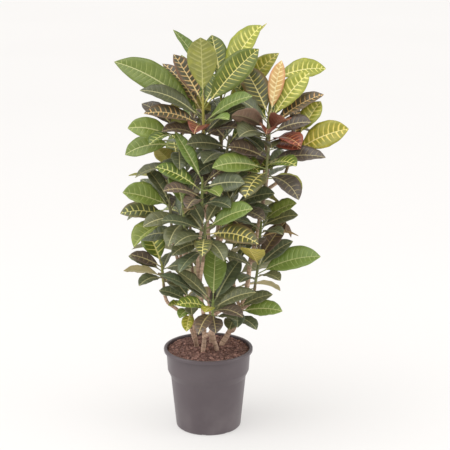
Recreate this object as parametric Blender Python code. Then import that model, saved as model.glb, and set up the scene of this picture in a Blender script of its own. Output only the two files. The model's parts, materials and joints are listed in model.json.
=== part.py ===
"""Potted croton: a shrubby variegated croton in a 24 cm nursery pot.

Separate pieces: the injection-moulded pot, the peat in it, five woody stems
that stand in holes in the peat, and the leafy green shoots that end every
branch.  Origin at the middle of the pot's underside, +Z up, +X to the right
and -Y to the front of the plant.  Everything is in metres.
"""
import itertools
import math
import random

import bmesh
import bpy
from mathutils import Matrix, Vector
from mathutils.bvhtree import BVHTree

# ------------------------------------------------------------------ pot
POT_SIDES = 32
POT_HEIGHT = 0.222
POT_RIM_RADIUS = 0.120
POT_BASE_RADIUS = 0.084
POT_FLOOR = 0.003
# radius and height of the section, from the underside up the outside,
# over the hollow lip and down the inside to the floor
POT_SECTION = (
    (0.0, 0.0),
    (POT_BASE_RADIUS, 0.0),
    (0.0875, 0.004),
    (0.1012, 0.142),
    (0.1098, 0.161),
    (0.1134, 0.2185),
    (0.1178, 0.2185),
    (0.1182, 0.2130),
    (0.1195, 0.2130),
    (POT_RIM_RADIUS, 0.2190),
    (0.1188, POT_HEIGHT),
    (0.1122, POT_HEIGHT),
    (0.1114, 0.2205),
    (0.1079, 0.1622),
    (0.0992, 0.1432),
    (0.0856, 0.0065),
    (0.0820, POT_FLOOR),
    (0.0, POT_FLOOR),
)
DRAIN_HOLES = 8
DRAIN_HOLE_RADIUS = 0.005
DRAIN_HOLE_REACH = 0.066
DRAIN_SLOT_WIDTH = 0.012
DRAIN_SLOT_DEPTH = 0.0022
DRAIN_TURN = 0.82
CUT_SIDES = 8

# ----------------------------------------------------------------- peat
SOIL_SIDES = 16
SOIL_GAP = 0.0004
SOIL_TOP = 0.211
SOIL_MOUND = 0.004
SOIL_ROUGH = 0.0022
SOIL_RINGS = (0.022, 0.045, 0.067, 0.088)
SOIL_SEED = 5

# ---------------------------------------------------------------- stems
STEM_SIDES = 6
TRUNK_STEPS = 2
BRANCH_STEPS = 1
STEM_ROOT_Z = 0.150
STEM_HOLE_GAP = 0.0003
SHOOT_GAP = 0.0003
SHOOT_SIDES = 5
SHOOT_RADIUS = 0.0042
SHOOT_TIP_RADIUS = 0.0027
SHOOT_BUD = 0.007

# main course of every stem from the peat to the foot of its last shoot,
# its thickness at the bottom and the side branches: (course point the
# branch leaves, points on its way, shoot it carries)
STEMS = {
    "stem_front": {
        "course": ((-0.014, -0.022, 0.218), (-0.010, -0.034, 0.262), (-0.012, -0.048, 0.330),
                   (-0.022, -0.052, 0.410), (-0.026, -0.056, 0.490)),
        "radius": 0.0060, "ends": "upper_front",
        "branches": ((1, ((0.004, -0.058, 0.280),), "low_front"),
                     (3, ((-0.018, -0.074, 0.446),), "middle_front")),
    },
    "stem_middle": {
        "course": ((0.023, -0.010, 0.218), (0.012, -0.008, 0.262), (0.006, 0.002, 0.350),
                   (0.004, 0.012, 0.480), (-0.002, 0.012, 0.580)),
        "radius": 0.0062, "ends": "crown_left",
        "branches": ((4, ((-0.034, 0.000, 0.632),), "upper_left"),
                     (4, ((0.020, 0.000, 0.630),), "centre_upper"),
                     (3, ((0.028, -0.004, 0.510),), "centre_middle")),
    },
    "stem_right": {
        "course": ((0.036, 0.030, 0.218), (0.058, 0.028, 0.258), (0.086, 0.027, 0.318),
                   (0.104, 0.030, 0.380), (0.113, 0.031, 0.455), (0.128, 0.032, 0.515),
                   (0.137, 0.031, 0.570), (0.151, 0.021, 0.650)),
        "radius": 0.0075, "ends": "crown_right",
        "branches": ((1, ((0.066, -0.002, 0.268),), "low_right"),
                     (2, ((0.106, 0.004, 0.338),), "right_lower"),
                     (2, ((0.076, 0.034, 0.352),), "centre_low"),
                     (4, ((0.122, 0.008, 0.462),), "right_middle"),
                     (6, ((0.142, 0.004, 0.598),), "upper_right"),
                     (7, ((0.178, 0.008, 0.672),), "far_right"),
                     (7, ((0.150, 0.054, 0.690),), "back_crown_right")),
    },
    "stem_left": {
        "course": ((-0.032, 0.018, 0.218), (-0.042, 0.020, 0.285), (-0.058, 0.020, 0.350),
                   (-0.070, 0.018, 0.420), (-0.083, 0.004, 0.474)),
        "radius": 0.0055, "ends": "left_middle",
        "branches": ((0, ((-0.040, -0.012, 0.256),), "low_left"),
                     (1, ((-0.084, 0.006, 0.326), (-0.108, -0.008, 0.350)), "left_lower"),
                     (2, ((-0.072, 0.052, 0.430), (-0.076, 0.074, 0.500)), "back_left"),
                     (3, ((-0.064, -0.030, 0.470),), "left_front"),
                     (3, ((-0.058, 0.030, 0.480),), "left_inner")),
    },
    "stem_back": {
        "course": ((0.008, 0.045, 0.218), (0.012, 0.060, 0.290), (0.020, 0.074, 0.400),
                   (0.026, 0.080, 0.520), (0.034, 0.084, 0.640)),
        "radius": 0.0062, "ends": "crown_back",
        "branches": ((1, ((0.044, 0.088, 0.304),), "back_low_right"),
                     (2, ((0.026, 0.098, 0.436),), "back_middle"),
                     (1, ((-0.010, 0.086, 0.350),), "back_low_left"),
                     (3, ((0.026, 0.106, 0.584),), "back_upper"),
                     (3, ((0.070, 0.092, 0.546),), "back_right"),
                     (4, ((0.000, 0.084, 0.676),), "back_crown_left")),
    },
}
BRANCH_RADIUS = 0.0048

# --------------------------------------------------------------- leaves
BLADE_THICKNESS = 0.0008
STALK_WIDTH = 0.0030
STALK_DEPTH = 0.0028
LONG_LEAF = 0.19
SHORT_PLACES = (0.0, 0.30, 0.66, 1.0)
LONG_PLACES = (0.0, 0.24, 0.50, 0.76, 1.0)
CURVE_STEPS = 40
BEND_POWER = 1.2
BASE_POWER = 0.95
TIP_POWER = 0.84
LEAF_CLEARANCE = 0.0021
STALK_FREE = 0.55
GOLDEN_ANGLE = 137.5
LEAF_SEED = 24
LEAF_TOP = 0.97
GIVEN_LOW = 0.40
SPIRAL_LOW = 0.05

# Every leafy shoot: the foot and the tip of its green stem, the leaves that
# follow by the spiral rule (how many, heading of the first, share of full
# size, tones) and the leaves that are set one by one.  A set leaf reads
#   heading (0 right, 90 to the back, 270 to the front), rise and reach of
#   its tip seen from the shoot's tip, width, droop along the blade, tilt
#   of the upper face to the front, fold at the midrib and leaf tone.
# Lengths in millimetres, angles in degrees.  Tones: g green with yellow
# veins, d dark green, p plain bright green, y young yellow, o dark with
# orange veins, r red.
SHOOTS = {
    "crown_left": {
        "foot": (-0.008, 0.000, 0.700), "tip": (-0.012, -0.020, 0.905),
        "spiral": (5, 40, 0.95, "gd"),
        "leaves": (
            (25, 36, 198, 77, 16, 52, 15, "g"), (168, 16, 250, 80, 28, 50, 13, "p"),
            (155, 66, 136, 68, 8, 26, 15, "d"), (120, 48, 150, 50, 14, -20, 19, "g"),
            (266, 70, 174, 79, 26, 0, 13, "y"), (136, 30, 166, 47, 25, 24, 15, "o"),
            (180, 8, 164, 54, 42, 44, 15, "d"), (196, -12, 160, 50, 40, 38, 17, "o"),
            (261, -20, 146, 59, 58, 10, 21, "o"), (334, 6, 142, 56, 30, 38, 15, "p"),
            (302, -16, 132, 50, 45, 20, 15, "p"), (206, -34, 140, 52, 50, 26, 15, "d"),
            (326, -32, 130, 50, 46, 20, 15, "d")),
    },
    "crown_right": {
        "foot": (0.156, 0.010, 0.700), "tip": (0.162, 0.000, 0.856),
        "spiral": (4, 60, 0.90, "dg"),
        "leaves": (
            (126, 44, 166, 76, 14, 18, 13, "d"), (148, 32, 132, 58, 22, 26, 15, "g"),
            (200, 28, 116, 54, 26, 42, 13, "d"), (60, 66, 148, 49, 8, 26, 31, "r"),
            (20, 44, 152, 63, 18, 44, 15, "y"), (8, 20, 150, 57, 26, 26, 19, "o"),
            (290, 4, 118, 59, 35, -20, 31, "r"), (304, -16, 146, 67, 48, 10, 17, "r"),
            (264, -10, 136, 54, 48, 10, 31, "r"), (226, 8, 146, 58, 24, -46, 15, "r"),
            (236, -10, 166, 70, 45, 24, 13, "d"), (340, -6, 112, 54, 32, 38, 15, "d"),
            (275, -42, 120, 52, 50, 0, 15, "d"), (318, -28, 128, 58, 40, 30, 13, "r"),
            (346, -44, 108, 54, 50, 10, 15, "d")),
    },
    "far_right": {
        "foot": (0.200, -0.004, 0.694), "tip": (0.234, -0.026, 0.806),
        "spiral": (2, 75, 0.72, "yg"),
        "leaves": (
            (37, 56, 112, 57, 12, 24, 15, "y"), (352, 10, 132, 76, 22, 54, 13, "y"),
            (90, 34, 104, 47, 22, 20, 21, "o")),
    },
    "left_middle": {
        "foot": (-0.092, -0.016, 0.520), "tip": (-0.100, -0.040, 0.638),
        "spiral": (1, 60, 0.90, "d"),
        "leaves": (
            (188, 20, 124, 77, 20, 40, 21, "p"), (138, 42, 112, 47, 18, 12, 17, "d"),
            (214, -45, 154, 70, 46, 12, 35, "p"), (186, -14, 132, 57, 38, 44, 15, "d"),
            (242, -4, 88, 36, 40, 20, 19, "p"), (130, 16, 128, 50, 28, 20, 15, "d")),
    },
    "upper_right": {
        "foot": (0.146, -0.022, 0.634), "tip": (0.155, -0.056, 0.765),
        "spiral": (1, 60, 0.85, "d"),
        "leaves": (
            (340, 8, 152, 61, 30, 42, 13, "d"), (312, -4, 124, 54, 36, 24, 13, "g"),
            (236, -42, 142, 67, 52, 6, 11, "o"), (320, -46, 146, 58, 60, 18, 15, "d"),
            (16, -52, 142, 49, 80, -52, 19, "g"), (190, 12, 108, 49, 30, 42, 15, "g"),
            (204, -8, 158, 58, 36, 50, 13, "g"), (96, 20, 110, 47, 28, 0, 17, "d")),
    },
    "upper_front": {
        "foot": (-0.016, -0.064, 0.570), "tip": (-0.013, -0.096, 0.708),
        "spiral": (2, 75, 0.90, "d"),
        "leaves": (
            (148, 62, 142, 40, 8, 30, 19, "p"), (350, 20, 112, 58, 26, 42, 13, "d"),
            (20, 22, 148, 58, 28, 34, 13, "d"), (250, -18, 118, 50, 48, 10, 17, "d"),
            (180, 15, 124, 52, 30, 40, 15, "g"), (292, -8, 122, 50, 45, 10, 15, "g"),
            (212, -8, 116, 47, 42, 30, 15, "d"), (320, -32, 112, 49, 45, 20, 15, "d")),
    },
    "middle_front": {
        "foot": (-0.012, -0.088, 0.488), "tip": (-0.005, -0.132, 0.600),
        "spiral": (2, 100, 0.80, "d"),
        "leaves": (
            (336, 26, 142, 65, 26, 44, 11, "p"), (336, -14, 152, 58, 40, 42, 13, "g"),
            (266, -28, 112, 50, 50, 0, 17, "g"), (112, 40, 82, 36, 12, 10, 17, "d"),
            (60, 54, 92, 36, 12, 10, 17, "d"), (194, 8, 116, 49, 32, 20, 15, "d"),
            (226, -18, 116, 47, 48, 20, 15, "d"), (300, -34, 122, 49, 55, 10, 15, "d"),
            (200, -40, 118, 49, 50, 30, 15, "d")),
    },
    "left_front": {
        "foot": (-0.060, -0.056, 0.516), "tip": (-0.062, -0.096, 0.632),
        "spiral": (2, 20, 0.80, "dg"),
        "leaves": (
            (112, 50, 128, 50, 14, 12, 17, "g"), (288, 20, 92, 34, 20, 0, 19, "o"),
            (250, -28, 120, 49, 55, 4, 15, "d"), (200, -20, 116, 49, 40, 34, 15, "d"),
            (296, -38, 110, 47, 50, 6, 15, "d")),
    },
    "upper_left": {
        "foot": (-0.062, -0.012, 0.676), "tip": (-0.082, -0.030, 0.830),
        "spiral": (2, 60, 0.85, "d"),
        "leaves": (
            (181, 3, 124, 60, 38, 54, 13, "p"), (170, -30, 156, 59, 40, 50, 13, "p"),
            (244, -50, 132, 57, 58, 8, 17, "d"), (262, 6, 108, 49, 42, 6, 17, "g"),
            (140, 22, 128, 50, 28, 22, 15, "d"), (280, -34, 118, 50, 50, 0, 15, "d")),
    },
    "right_middle": {
        "foot": (0.132, -0.010, 0.478), "tip": (0.140, -0.030, 0.576),
        "spiral": (2, 75, 0.80, "d"),
        "leaves": (
            (340, 32, 114, 54, 34, 38, 13, "p"), (352, 14, 100, 49, 28, 36, 15, "g"),
            (300, 4, 106, 45, 36, 10, 15, "d"), (338, -14, 108, 29, 40, -34, 19, "o"),
            (222, 14, 108, 45, 30, 24, 15, "d"), (262, -20, 112, 47, 44, 0, 15, "d")),
    },
    "right_lower": {
        "foot": (0.120, -0.014, 0.362), "tip": (0.134, -0.034, 0.474),
        "spiral": (2, 75, 0.75, "d"),
        "leaves": (
            (352, 6, 164, 72, 30, 44, 13, "p"), (258, 44, 128, 67, 12, 0, 15, "y"),
            (10, 28, 104, 50, 24, 36, 15, "g"),
            (302, -16, 106, 45, 44, 8, 15, "d"), (206, 14, 106, 45, 30, 24, 15, "d"),
            (22, 66, 126, 54, 12, 30, 15, "d"), (240, -18, 108, 47, 44, 14, 15, "d")),
    },
    "left_lower": {
        "foot": (-0.116, -0.013, 0.374), "tip": (-0.122, -0.022, 0.460),
        "spiral": (1, 80, 0.75, "d"),
        "leaves": (
            (185, 2, 104, 45, 24, -52, 17, "d"), (172, 12, 92, 43, 30, 30, 15, "d"),
            (190, 24, 90, 41, 22, 42, 15, "d"), (280, 4, 94, 38, 34, 6, 17, "o"),
            (120, 42, 114, 65, 16, 22, 15, "g"), (232, -22, 100, 41, 48, 18, 15, "d"),
            (352, 14, 104, 50, 30, 30, 15, "d"), (304, -22, 100, 46, 40, 14, 15, "d")),
    },
    "low_front": {
        "foot": (0.010, -0.078, 0.300), "tip": (0.014, -0.112, 0.388),
        "spiral": (0, 0, 1.0, "d"),
        "leaves": (
            (86, 50, 156, 65, 14, 4, 13, "p"), (40, 34, 150, 54, 20, 26, 13, "g"),
            (284, 16, 76, 36, 22, 0, 17, "y"), (244, -38, 108, 45, 52, 6, 15, "d"),
            (182, 27, 158, 54, 30, 32, 13, "d"), (352, 14, 116, 45, 30, 40, 15, "d"),
            (214, 4, 114, 45, 38, 34, 15, "g"), (322, -44, 84, 45, 32, 10, 13, "d"),
            (280, -38, 86, 45, 36, 0, 13, "d"), (318, -8, 106, 47, 44, 16, 15, "d"),
            (148, 42, 128, 52, 20, 20, 13, "d")),
    },
    "low_right": {
        "foot": (0.072, -0.020, 0.284), "tip": (0.078, -0.048, 0.348),
        "spiral": (1, 80, 0.75, "d"),
        "leaves": (
            (346, 8, 122, 54, 28, 48, 11, "p"), (6, 20, 100, 45, 24, 30, 15, "d"),
            (318, -34, 82, 40, 46, 16, 15, "d"), (270, -8, 92, 41, 44, 0, 15, "d"),
            (118, 20, 112, 45, 28, 0, 15, "d"), (250, -30, 76, 44, 40, 0, 15, "d")),
    },
    "low_left": {
        "foot": (-0.046, -0.032, 0.286), "tip": (-0.046, -0.060, 0.376),
        "spiral": (1, 80, 0.75, "d"),
        "leaves": (
            (196, -4, 62, 36, 30, 30, 15, "g"), (246, -26, 74, 36, 46, 10, 15, "p"),
            (258, -58, 88, 34, 60, 0, 17, "y"), (134, 25, 108, 45, 26, 22, 15, "d"), (158, 8, 92, 44, 30, 20, 15, "d"),
            (274, -4, 84, 40, 36, 6, 15, "d")),
    },
    "centre_upper": {
        "foot": (0.036, -0.010, 0.680), "tip": (0.056, -0.016, 0.800),
        "spiral": (0, 0, 1.0, "d"),
        "leaves": (
            (196, 12, 126, 54, 26, 42, 13, "d"), (242, -12, 132, 56, 42, 20, 13, "d"),
            (178, 30, 98, 50, 24, 30, 15, "d"),
            (292, -20, 130, 54, 44, 8, 15, "d"), (334, -30, 122, 52, 42, 30, 13, "g"),
            (112, 36, 128, 50, 22, 10, 15, "d"), (30, 30, 122, 50, 24, 26, 15, "g"),
            (210, -42, 130, 54, 46, 30, 13, "d"), (66, -8, 124, 50, 34, 0, 15, "d")),
    },
    "centre_middle": {
        "foot": (0.044, -0.014, 0.545), "tip": (0.064, -0.034, 0.640),
        "spiral": (3, 200, 0.85, "d"),
        "leaves": (
            (342, 12, 118, 52, 26, 42, 13, "d"), (300, -20, 124, 52, 44, 14, 13, "d"),
            (255, -14, 118, 50, 40, 6, 13, "g"), (60, 30, 112, 47, 24, 10, 15, "d"),
            (128, 14, 116, 49, 28, 10, 15, "d"), (330, -44, 116, 49, 48, 24, 13, "d")),
    },
    "centre_low": {
        "foot": (0.068, 0.034, 0.390), "tip": (0.056, 0.026, 0.480),
        "spiral": (3, 330, 0.85, "d"),
        "leaves": (
            (196, 14, 128, 52, 26, 42, 13, "d"), (300, 10, 116, 52, 34, 16, 13, "d"),
            (250, -10, 124, 52, 38, 10, 13, "d"), (26, 30, 112, 49, 24, 24, 15, "d"),
            (128, 4, 112, 49, 28, 10, 15, "d")),
    },
    "left_inner": {
        "foot": (-0.048, 0.036, 0.530), "tip": (-0.044, 0.034, 0.650),
        "spiral": (3, 250, 0.85, "d"),
        "leaves": (
            (200, 38, 112, 49, 18, 30, 13, "d"), (122, 18, 118, 50, 28, 10, 15, "d"),
            (70, 34, 112, 49, 22, 0, 15, "d"), (170, -16, 118, 50, 36, 20, 15, "d"),
            (20, -4, 104, 47, 30, 20, 15, "d")),
    },
    "crown_back": {
        "foot": (0.036, 0.086, 0.720), "tip": (0.034, 0.098, 0.935),
        "spiral": (8, 130, 0.98, "gd"),
        "leaves": (
            (349, 57, 180, 86, 20, 58, 17, "y"), (6, 46, 190, 41, 22, 12, 19, "y"),
            (158, 50, 184, 47, 12, 20, 17, "p"), (196, 42, 132, 52, 20, 26, 15, "d"),
            (108, 61, 132, 62, 12, 10, 15, "g"), (6, 23, 168, 74, 20, 40, 15, "y")),
    },
    "back_crown_right": {
        "foot": (0.152, 0.068, 0.724), "tip": (0.168, 0.070, 0.944),
        "spiral": (7, 165, 0.86, "gd"),
        "leaves": ((10, 7, 146, 64, 27, 42, 15, "y"),),
    },
    "back_crown_left": {
        "foot": (-0.026, 0.082, 0.706), "tip": (-0.046, 0.090, 0.810),
        "spiral": (6, 95, 0.85, "gd"),
        "leaves": (
            (340, 14, 122, 60, 30, 30, 15, "d"), (60, 50, 122, 56, 10, 0, 15, "d"),
            (24, 32, 128, 56, 22, 10, 15, "d")),
    },
    "back_upper": {
        "foot": (0.024, 0.120, 0.626), "tip": (0.022, 0.142, 0.745),
        "spiral": (9, 72, 1.04, "dg"), "leaves": (),
    },
    "back_left": {
        "foot": (-0.076, 0.088, 0.560), "tip": (-0.080, 0.108, 0.700),
        "spiral": (9, 101, 0.94, "dg"), "leaves": (),
    },
    "back_right": {
        "foot": (0.108, 0.104, 0.568), "tip": (0.128, 0.122, 0.668),
        "spiral": (8, 112, 0.92, "dg"), "leaves": (),
    },
    "back_middle": {
        "foot": (0.031, 0.116, 0.456), "tip": (0.034, 0.140, 0.556),
        "spiral": (9, 100, 1.00, "d"), "leaves": (),
    },
    "back_low_left": {
        "foot": (-0.044, 0.106, 0.400), "tip": (-0.056, 0.124, 0.500),
        "spiral": (6, 128, 1.00, "d"), "leaves": (),
    },
    "back_low_right": {
        "foot": (0.064, 0.106, 0.330), "tip": (0.078, 0.124, 0.420),
        "spiral": (7, 60, 0.94, "d"), "leaves": (),
    },
}
# shoots that the exact solver joins with a pinched edge
MANIFOLD_SHOOTS = ("left_lower", "right_lower", "low_right", "crown_back", "left_inner", "back_right")
# reach of the spiral leaves, their width as a share of it, how far they
# lean to the outside and the plant's middle axis they lean away from
FILL_REACH = (0.138, 0.172)
FILL_WIDTH_SHARE = 0.385
SPIRAL_LEAN = 42.0
PLANT_AXIS = (0.030, 0.010)
# ways to bend a leaf that meets another one, the smallest change first:
# turn, lift and roll in degrees and share of the size
TURNS = (0, 4, -4, 8, -8, 14, -14, 22, -22, 30, -30)
LIFTS = (0, 4, -4, 8, -8, 14, -14, 22, -22)
ROLLS = (0, 10, -10, 20, -20, 32, -32)
SIZES = (1.0, 0.92, 0.82, 0.70)
ATTEMPTS = sorted(itertools.product(TURNS, LIFTS, ROLLS, SIZES),
                  key=lambda move: (abs(move[0]) / 8 + abs(move[1]) / 8
                                    + abs(move[2]) / 14 + (1 - move[3]) * 14))

# ------------------------------------------------------------ materials
MATERIALS = {
    "pot": ((0.135, 0.118, 0.122), 0.48),
    "soil": ((0.060, 0.030, 0.022), 0.95),
    "bark": ((0.300, 0.190, 0.135), 0.80),
    "leaf": ((0.045, 0.120, 0.030), 0.36),
}


# ============================================================== helpers
def material_for(name, kind):
    """A Principled material of its own for one piece."""
    colour, roughness = MATERIALS[kind]
    material = bpy.data.materials.new(name)
    material.use_nodes = True
    shader = material.node_tree.nodes["Principled BSDF"]
    shader.inputs["Base Color"].default_value = (*colour, 1.0)
    shader.inputs["Roughness"].default_value = roughness
    return material


def new_object(name, points, faces):
    """An object in the scene from points and faces, normals outwards."""
    mesh = bpy.data.meshes.new(name)
    work = bmesh.new()
    made = [work.verts.new(point) for point in points]
    for face in faces:
        work.faces.new([made[index] for index in face])
    bmesh.ops.recalc_face_normals(work, faces=work.faces)
    work.to_mesh(mesh)
    work.free()
    thing = bpy.data.objects.new(name, mesh)
    bpy.context.scene.collection.objects.link(thing)
    return thing


def finish(thing, name, kind):
    """Name, colour and shade one finished piece."""
    thing.name = name
    thing.data.name = name
    thing.data.materials.clear()
    thing.data.materials.append(material_for(name, kind))
    thing.data.polygons.foreach_set("use_smooth", [True] * len(thing.data.polygons))
    thing.data.update()
    return thing


def combine(thing, others, operation, solver="EXACT"):
    """Join or cut a piece with all the others in one Boolean and drop them."""
    group = bpy.data.collections.new(thing.name + "_others")
    bpy.context.scene.collection.children.link(group)
    for other in others:
        bpy.context.scene.collection.objects.unlink(other)
        group.objects.link(other)
        other.hide_render = True
        other.display_type = "WIRE"
    boolean = thing.modifiers.new("combine", "BOOLEAN")
    boolean.operation = operation
    boolean.operand_type = "COLLECTION"
    boolean.collection = group
    boolean.solver = solver
    graph = bpy.context.evaluated_depsgraph_get()
    result = bpy.data.meshes.new_from_object(thing.evaluated_get(graph))
    thing.modifiers.remove(boolean)
    thing.data = result
    for other in others:
        bpy.data.objects.remove(other)
    bpy.data.collections.remove(group)
    return thing


def turned(section, sides):
    """Points and faces of a section turned about Z; its ends are on the axis."""
    points = [(0.0, 0.0, section[0][1])]
    for radius, height in section[1:-1]:
        for index in range(sides):
            angle = math.tau * index / sides
            points.append((radius * math.cos(angle), radius * math.sin(angle), height))
    points.append((0.0, 0.0, section[-1][1]))
    last = len(points) - 1
    rings = len(section) - 2
    faces = []
    for index in range(sides):
        after = (index + 1) % sides
        faces.append((0, 1 + after, 1 + index))
        for ring in range(rings - 1):
            low = 1 + ring * sides
            high = low + sides
            faces.append((low + index, low + after, high + after, high + index))
        top = 1 + (rings - 1) * sides
        faces.append((top + index, top + after, last))
    return points, faces


def smooth_course(course, steps):
    """Points on a curve through all course points."""
    knots = [Vector(point) for point in course]
    knots = [2 * knots[0] - knots[1]] + knots + [2 * knots[-1] - knots[-2]]
    curve = []
    for index in range(1, len(knots) - 2):
        before, start, end, after = knots[index - 1:index + 3]
        for step in range(steps):
            t = step / steps
            curve.append(0.5 * (2 * start + (end - before) * t
                                + (2 * before - 5 * start + 4 * end - after) * t ** 2
                                + (3 * start - before - 3 * end + after) * t ** 3))
    curve.append(knots[-2])
    return curve


def tube(curve, radii, sides, last_direction=None):
    """Points and faces of a closed round rod along a curve."""
    points = []
    across = Vector((1.0, 0.0, 0.0))
    for index, centre in enumerate(curve):
        before = curve[max(index - 1, 0)]
        after = curve[min(index + 1, len(curve) - 1)]
        along = (after - before).normalized()
        if index == len(curve) - 1 and last_direction is not None:
            along = last_direction.normalized()
        across = (across - across.dot(along) * along).normalized()
        other = along.cross(across)
        for side in range(sides):
            angle = math.tau * side / sides
            points.append(centre + radii[index] * (math.cos(angle) * across + math.sin(angle) * other))
    faces = [tuple(reversed(range(sides)))]
    for ring in range(len(curve) - 1):
        low = ring * sides
        for side in range(sides):
            after = (side + 1) % sides
            faces.append((low + side, low + after, low + sides + after, low + sides + side))
    faces.append(tuple(range(len(points) - sides, len(points))))
    return points, faces


def spread(start, end, count):
    """Evenly spaced values from start to end."""
    return [start + (end - start) * index / (count - 1) for index in range(count)]


# ================================================================ stems
def foot_of(shoot):
    """Foot and direction of a shoot's green stem."""
    foot = Vector(SHOOTS[shoot]["foot"])
    return foot, (Vector(SHOOTS[shoot]["tip"]) - foot).normalized()


def stem_rods(name):
    """Curve, radii and end direction of a stem's trunk and of its branches."""
    stem = STEMS[name]
    foot, direction = foot_of(stem["ends"])
    ground = Vector(stem["course"][0])
    root = Vector((ground.x, ground.y, STEM_ROOT_Z))
    course = smooth_course(stem["course"] + (tuple(foot),), TRUNK_STEPS)
    trunk = [root] + course
    radii = [stem["radius"]] + spread(stem["radius"], SHOOT_RADIUS, len(course))
    rods = [(trunk, radii, direction)]
    for start, way, shoot in stem["branches"]:
        foot, direction = foot_of(shoot)
        points = (stem["course"][start],) + way + (tuple(foot),)
        curve = smooth_course(points, BRANCH_STEPS)
        rods.append((curve, spread(BRANCH_RADIUS, SHOOT_RADIUS, len(curve)), direction))
    return rods


def make_stem(name):
    """One woody stem with its branches fused on."""
    rods = [new_object(name, *tube(curve, radii, STEM_SIDES, direction))
            for curve, radii, direction in stem_rods(name)]
    return finish(combine(rods[0], rods[1:], "UNION"), name, "bark")


# =============================================================== leaves
def direction_of(heading, rise):
    """Unit vector from a heading and a rise in degrees."""
    turn = math.radians(heading)
    lift = math.radians(rise)
    return Vector((math.cos(turn) * math.cos(lift), math.sin(turn) * math.cos(lift), math.sin(lift)))


def blade_shape(s):
    """Half width of the blade as a share of the widest, s from base to tip."""
    widest = BASE_POWER / (BASE_POWER + TIP_POWER)
    full = widest ** BASE_POWER * (1 - widest) ** TIP_POWER
    return s ** BASE_POWER * (1 - s) ** TIP_POWER / full


def midrib(leaf, places):
    """Frames (point, along, across, up) on the midrib.

    Places run from -1 at the stem over 0 at the blade's base to 1 at its tip.
    The stalk is straight and turns the blade to its tilt; the blade bends down.
    """
    bend = math.radians(leaf["droop"])
    stalk = leaf["stalk"]
    flat = [(stalk, 0.0)]
    for index in range(CURVE_STEPS):
        angle = -bend * ((index + 0.5) / CURVE_STEPS) ** BEND_POWER
        x, z = flat[-1]
        step = (1.0 - stalk) / CURVE_STEPS
        flat.append((x + step * math.cos(angle), z + step * math.sin(angle)))
    chord = leaf["tip"] - leaf["base"]
    scale = chord.length / math.hypot(*flat[-1])
    lean = math.asin(chord.z / chord.length) - math.atan2(flat[-1][1], flat[-1][0])
    out = Vector((chord.x, chord.y, 0.0)).normalized()
    level = Vector((-out.y, out.x, 0.0))
    frames = []
    for place in places:
        if place <= 0.0:
            x, z, angle = stalk * (1.0 + place), 0.0, lean
        else:
            exact = place * CURVE_STEPS
            index = min(int(exact), CURVE_STEPS - 1)
            part = exact - index
            x = flat[index][0] * (1 - part) + flat[index + 1][0] * part
            z = flat[index][1] * (1 - part) + flat[index + 1][1] * part
            angle = lean - bend * place ** BEND_POWER
        point = (leaf["base"] + scale * (x * math.cos(lean) - z * math.sin(lean)) * out
                 + Vector((0.0, 0.0, scale * (x * math.sin(lean) + z * math.cos(lean)))))
        along = math.cos(angle) * out + Vector((0.0, 0.0, math.sin(angle)))
        up = -math.sin(angle) * out + Vector((0.0, 0.0, math.cos(angle)))
        roll = math.radians(leaf["roll"]) * min(1.0 + place, 1.0)
        frames.append((point, along, math.cos(roll) * level - math.sin(roll) * up,
                       math.cos(roll) * up + math.sin(roll) * level))
    return frames


def margin_lift(leaf, s, side):
    """Height of the waved margin over the flat fold."""
    return leaf["wave"] * math.sin(math.tau * (leaf["waves"] * s + leaf["phase"] + 0.37 * side))


def leaf_mesh(leaf, extra=0.0, start=-1.0):
    """Points and triangles of a closed thin leaf; both faces split alike.

    Every ring runs left, middle, right over the top and back underneath.
    The stalk is three-sided and the blade ends in a point.  Extra is added
    all round for the test that keeps leaves apart.
    """
    length = (leaf["tip"] - leaf["base"]).length
    places = (start,) + (LONG_PLACES if length > LONG_LEAF else SHORT_PLACES)
    fold = math.radians(leaf["fold"])
    points = []
    rings = []
    for place, (point, along, across, up) in zip(places, midrib(leaf, places)):
        s = max(place, 0.0)
        count = len(points)
        half = max(0.5 * leaf["width"] * blade_shape(s), 0.5 * STALK_WIDTH) + extra
        depth = 0.5 * (STALK_DEPTH if s == 0.0 else BLADE_THICKNESS) + extra
        edges = []
        for side in (1, -1):
            lift = half * math.sin(fold) + margin_lift(leaf, s, side) if s > 0.0 else 0.0
            edges.append(point + side * half * math.cos(fold) * across + lift * up)
        if s == 1.0:
            end = point + extra * along
            points += [end + depth * up, end - depth * up]
            rings.append([count] * 3 + [count + 1] * 3)
        elif s == 0.0:
            points += [edges[0] + depth * up, edges[1] + depth * up, point - depth * up]
            rings.append([count, count, count + 1, count + 1, count + 2, count + 2])
        else:
            points += [spot + depth * up for spot in (edges[0], point, edges[1])]
            points += [spot - depth * up for spot in (edges[1], point, edges[0])]
            rings.append([count + index for index in range(6)])
    faces = [(0, 1, 2)]
    for near, far in zip(rings, rings[1:]):
        for a, b in ((0, 1), (2, 1), (3, 4), (5, 4), (2, 3), (5, 0)):
            for face in ((near[a], near[b], far[b]), (near[a], far[b], far[a])):
                if len(set(face)) == 3:
                    faces.append(face)
    return points, faces


def set_leaf(crown, row, draw):
    """A leaf from one row of the shoot table."""
    heading, rise, reach, width, droop, tilt, fold, tone = row
    front = -1.0 if math.cos(math.radians(heading)) > 0 else 1.0
    return {"heading": heading, "rise": rise, "reach": reach / 1000, "width": width / 1000,
            "droop": droop, "roll": front * tilt, "fold": fold, "tone": tone, "crown": crown,
            "stalk": draw.uniform(0.13, 0.19), "wave": draw.uniform(0.0010, 0.0018),
            "waves": draw.uniform(1.6, 2.4), "phase": draw.random()}


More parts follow.
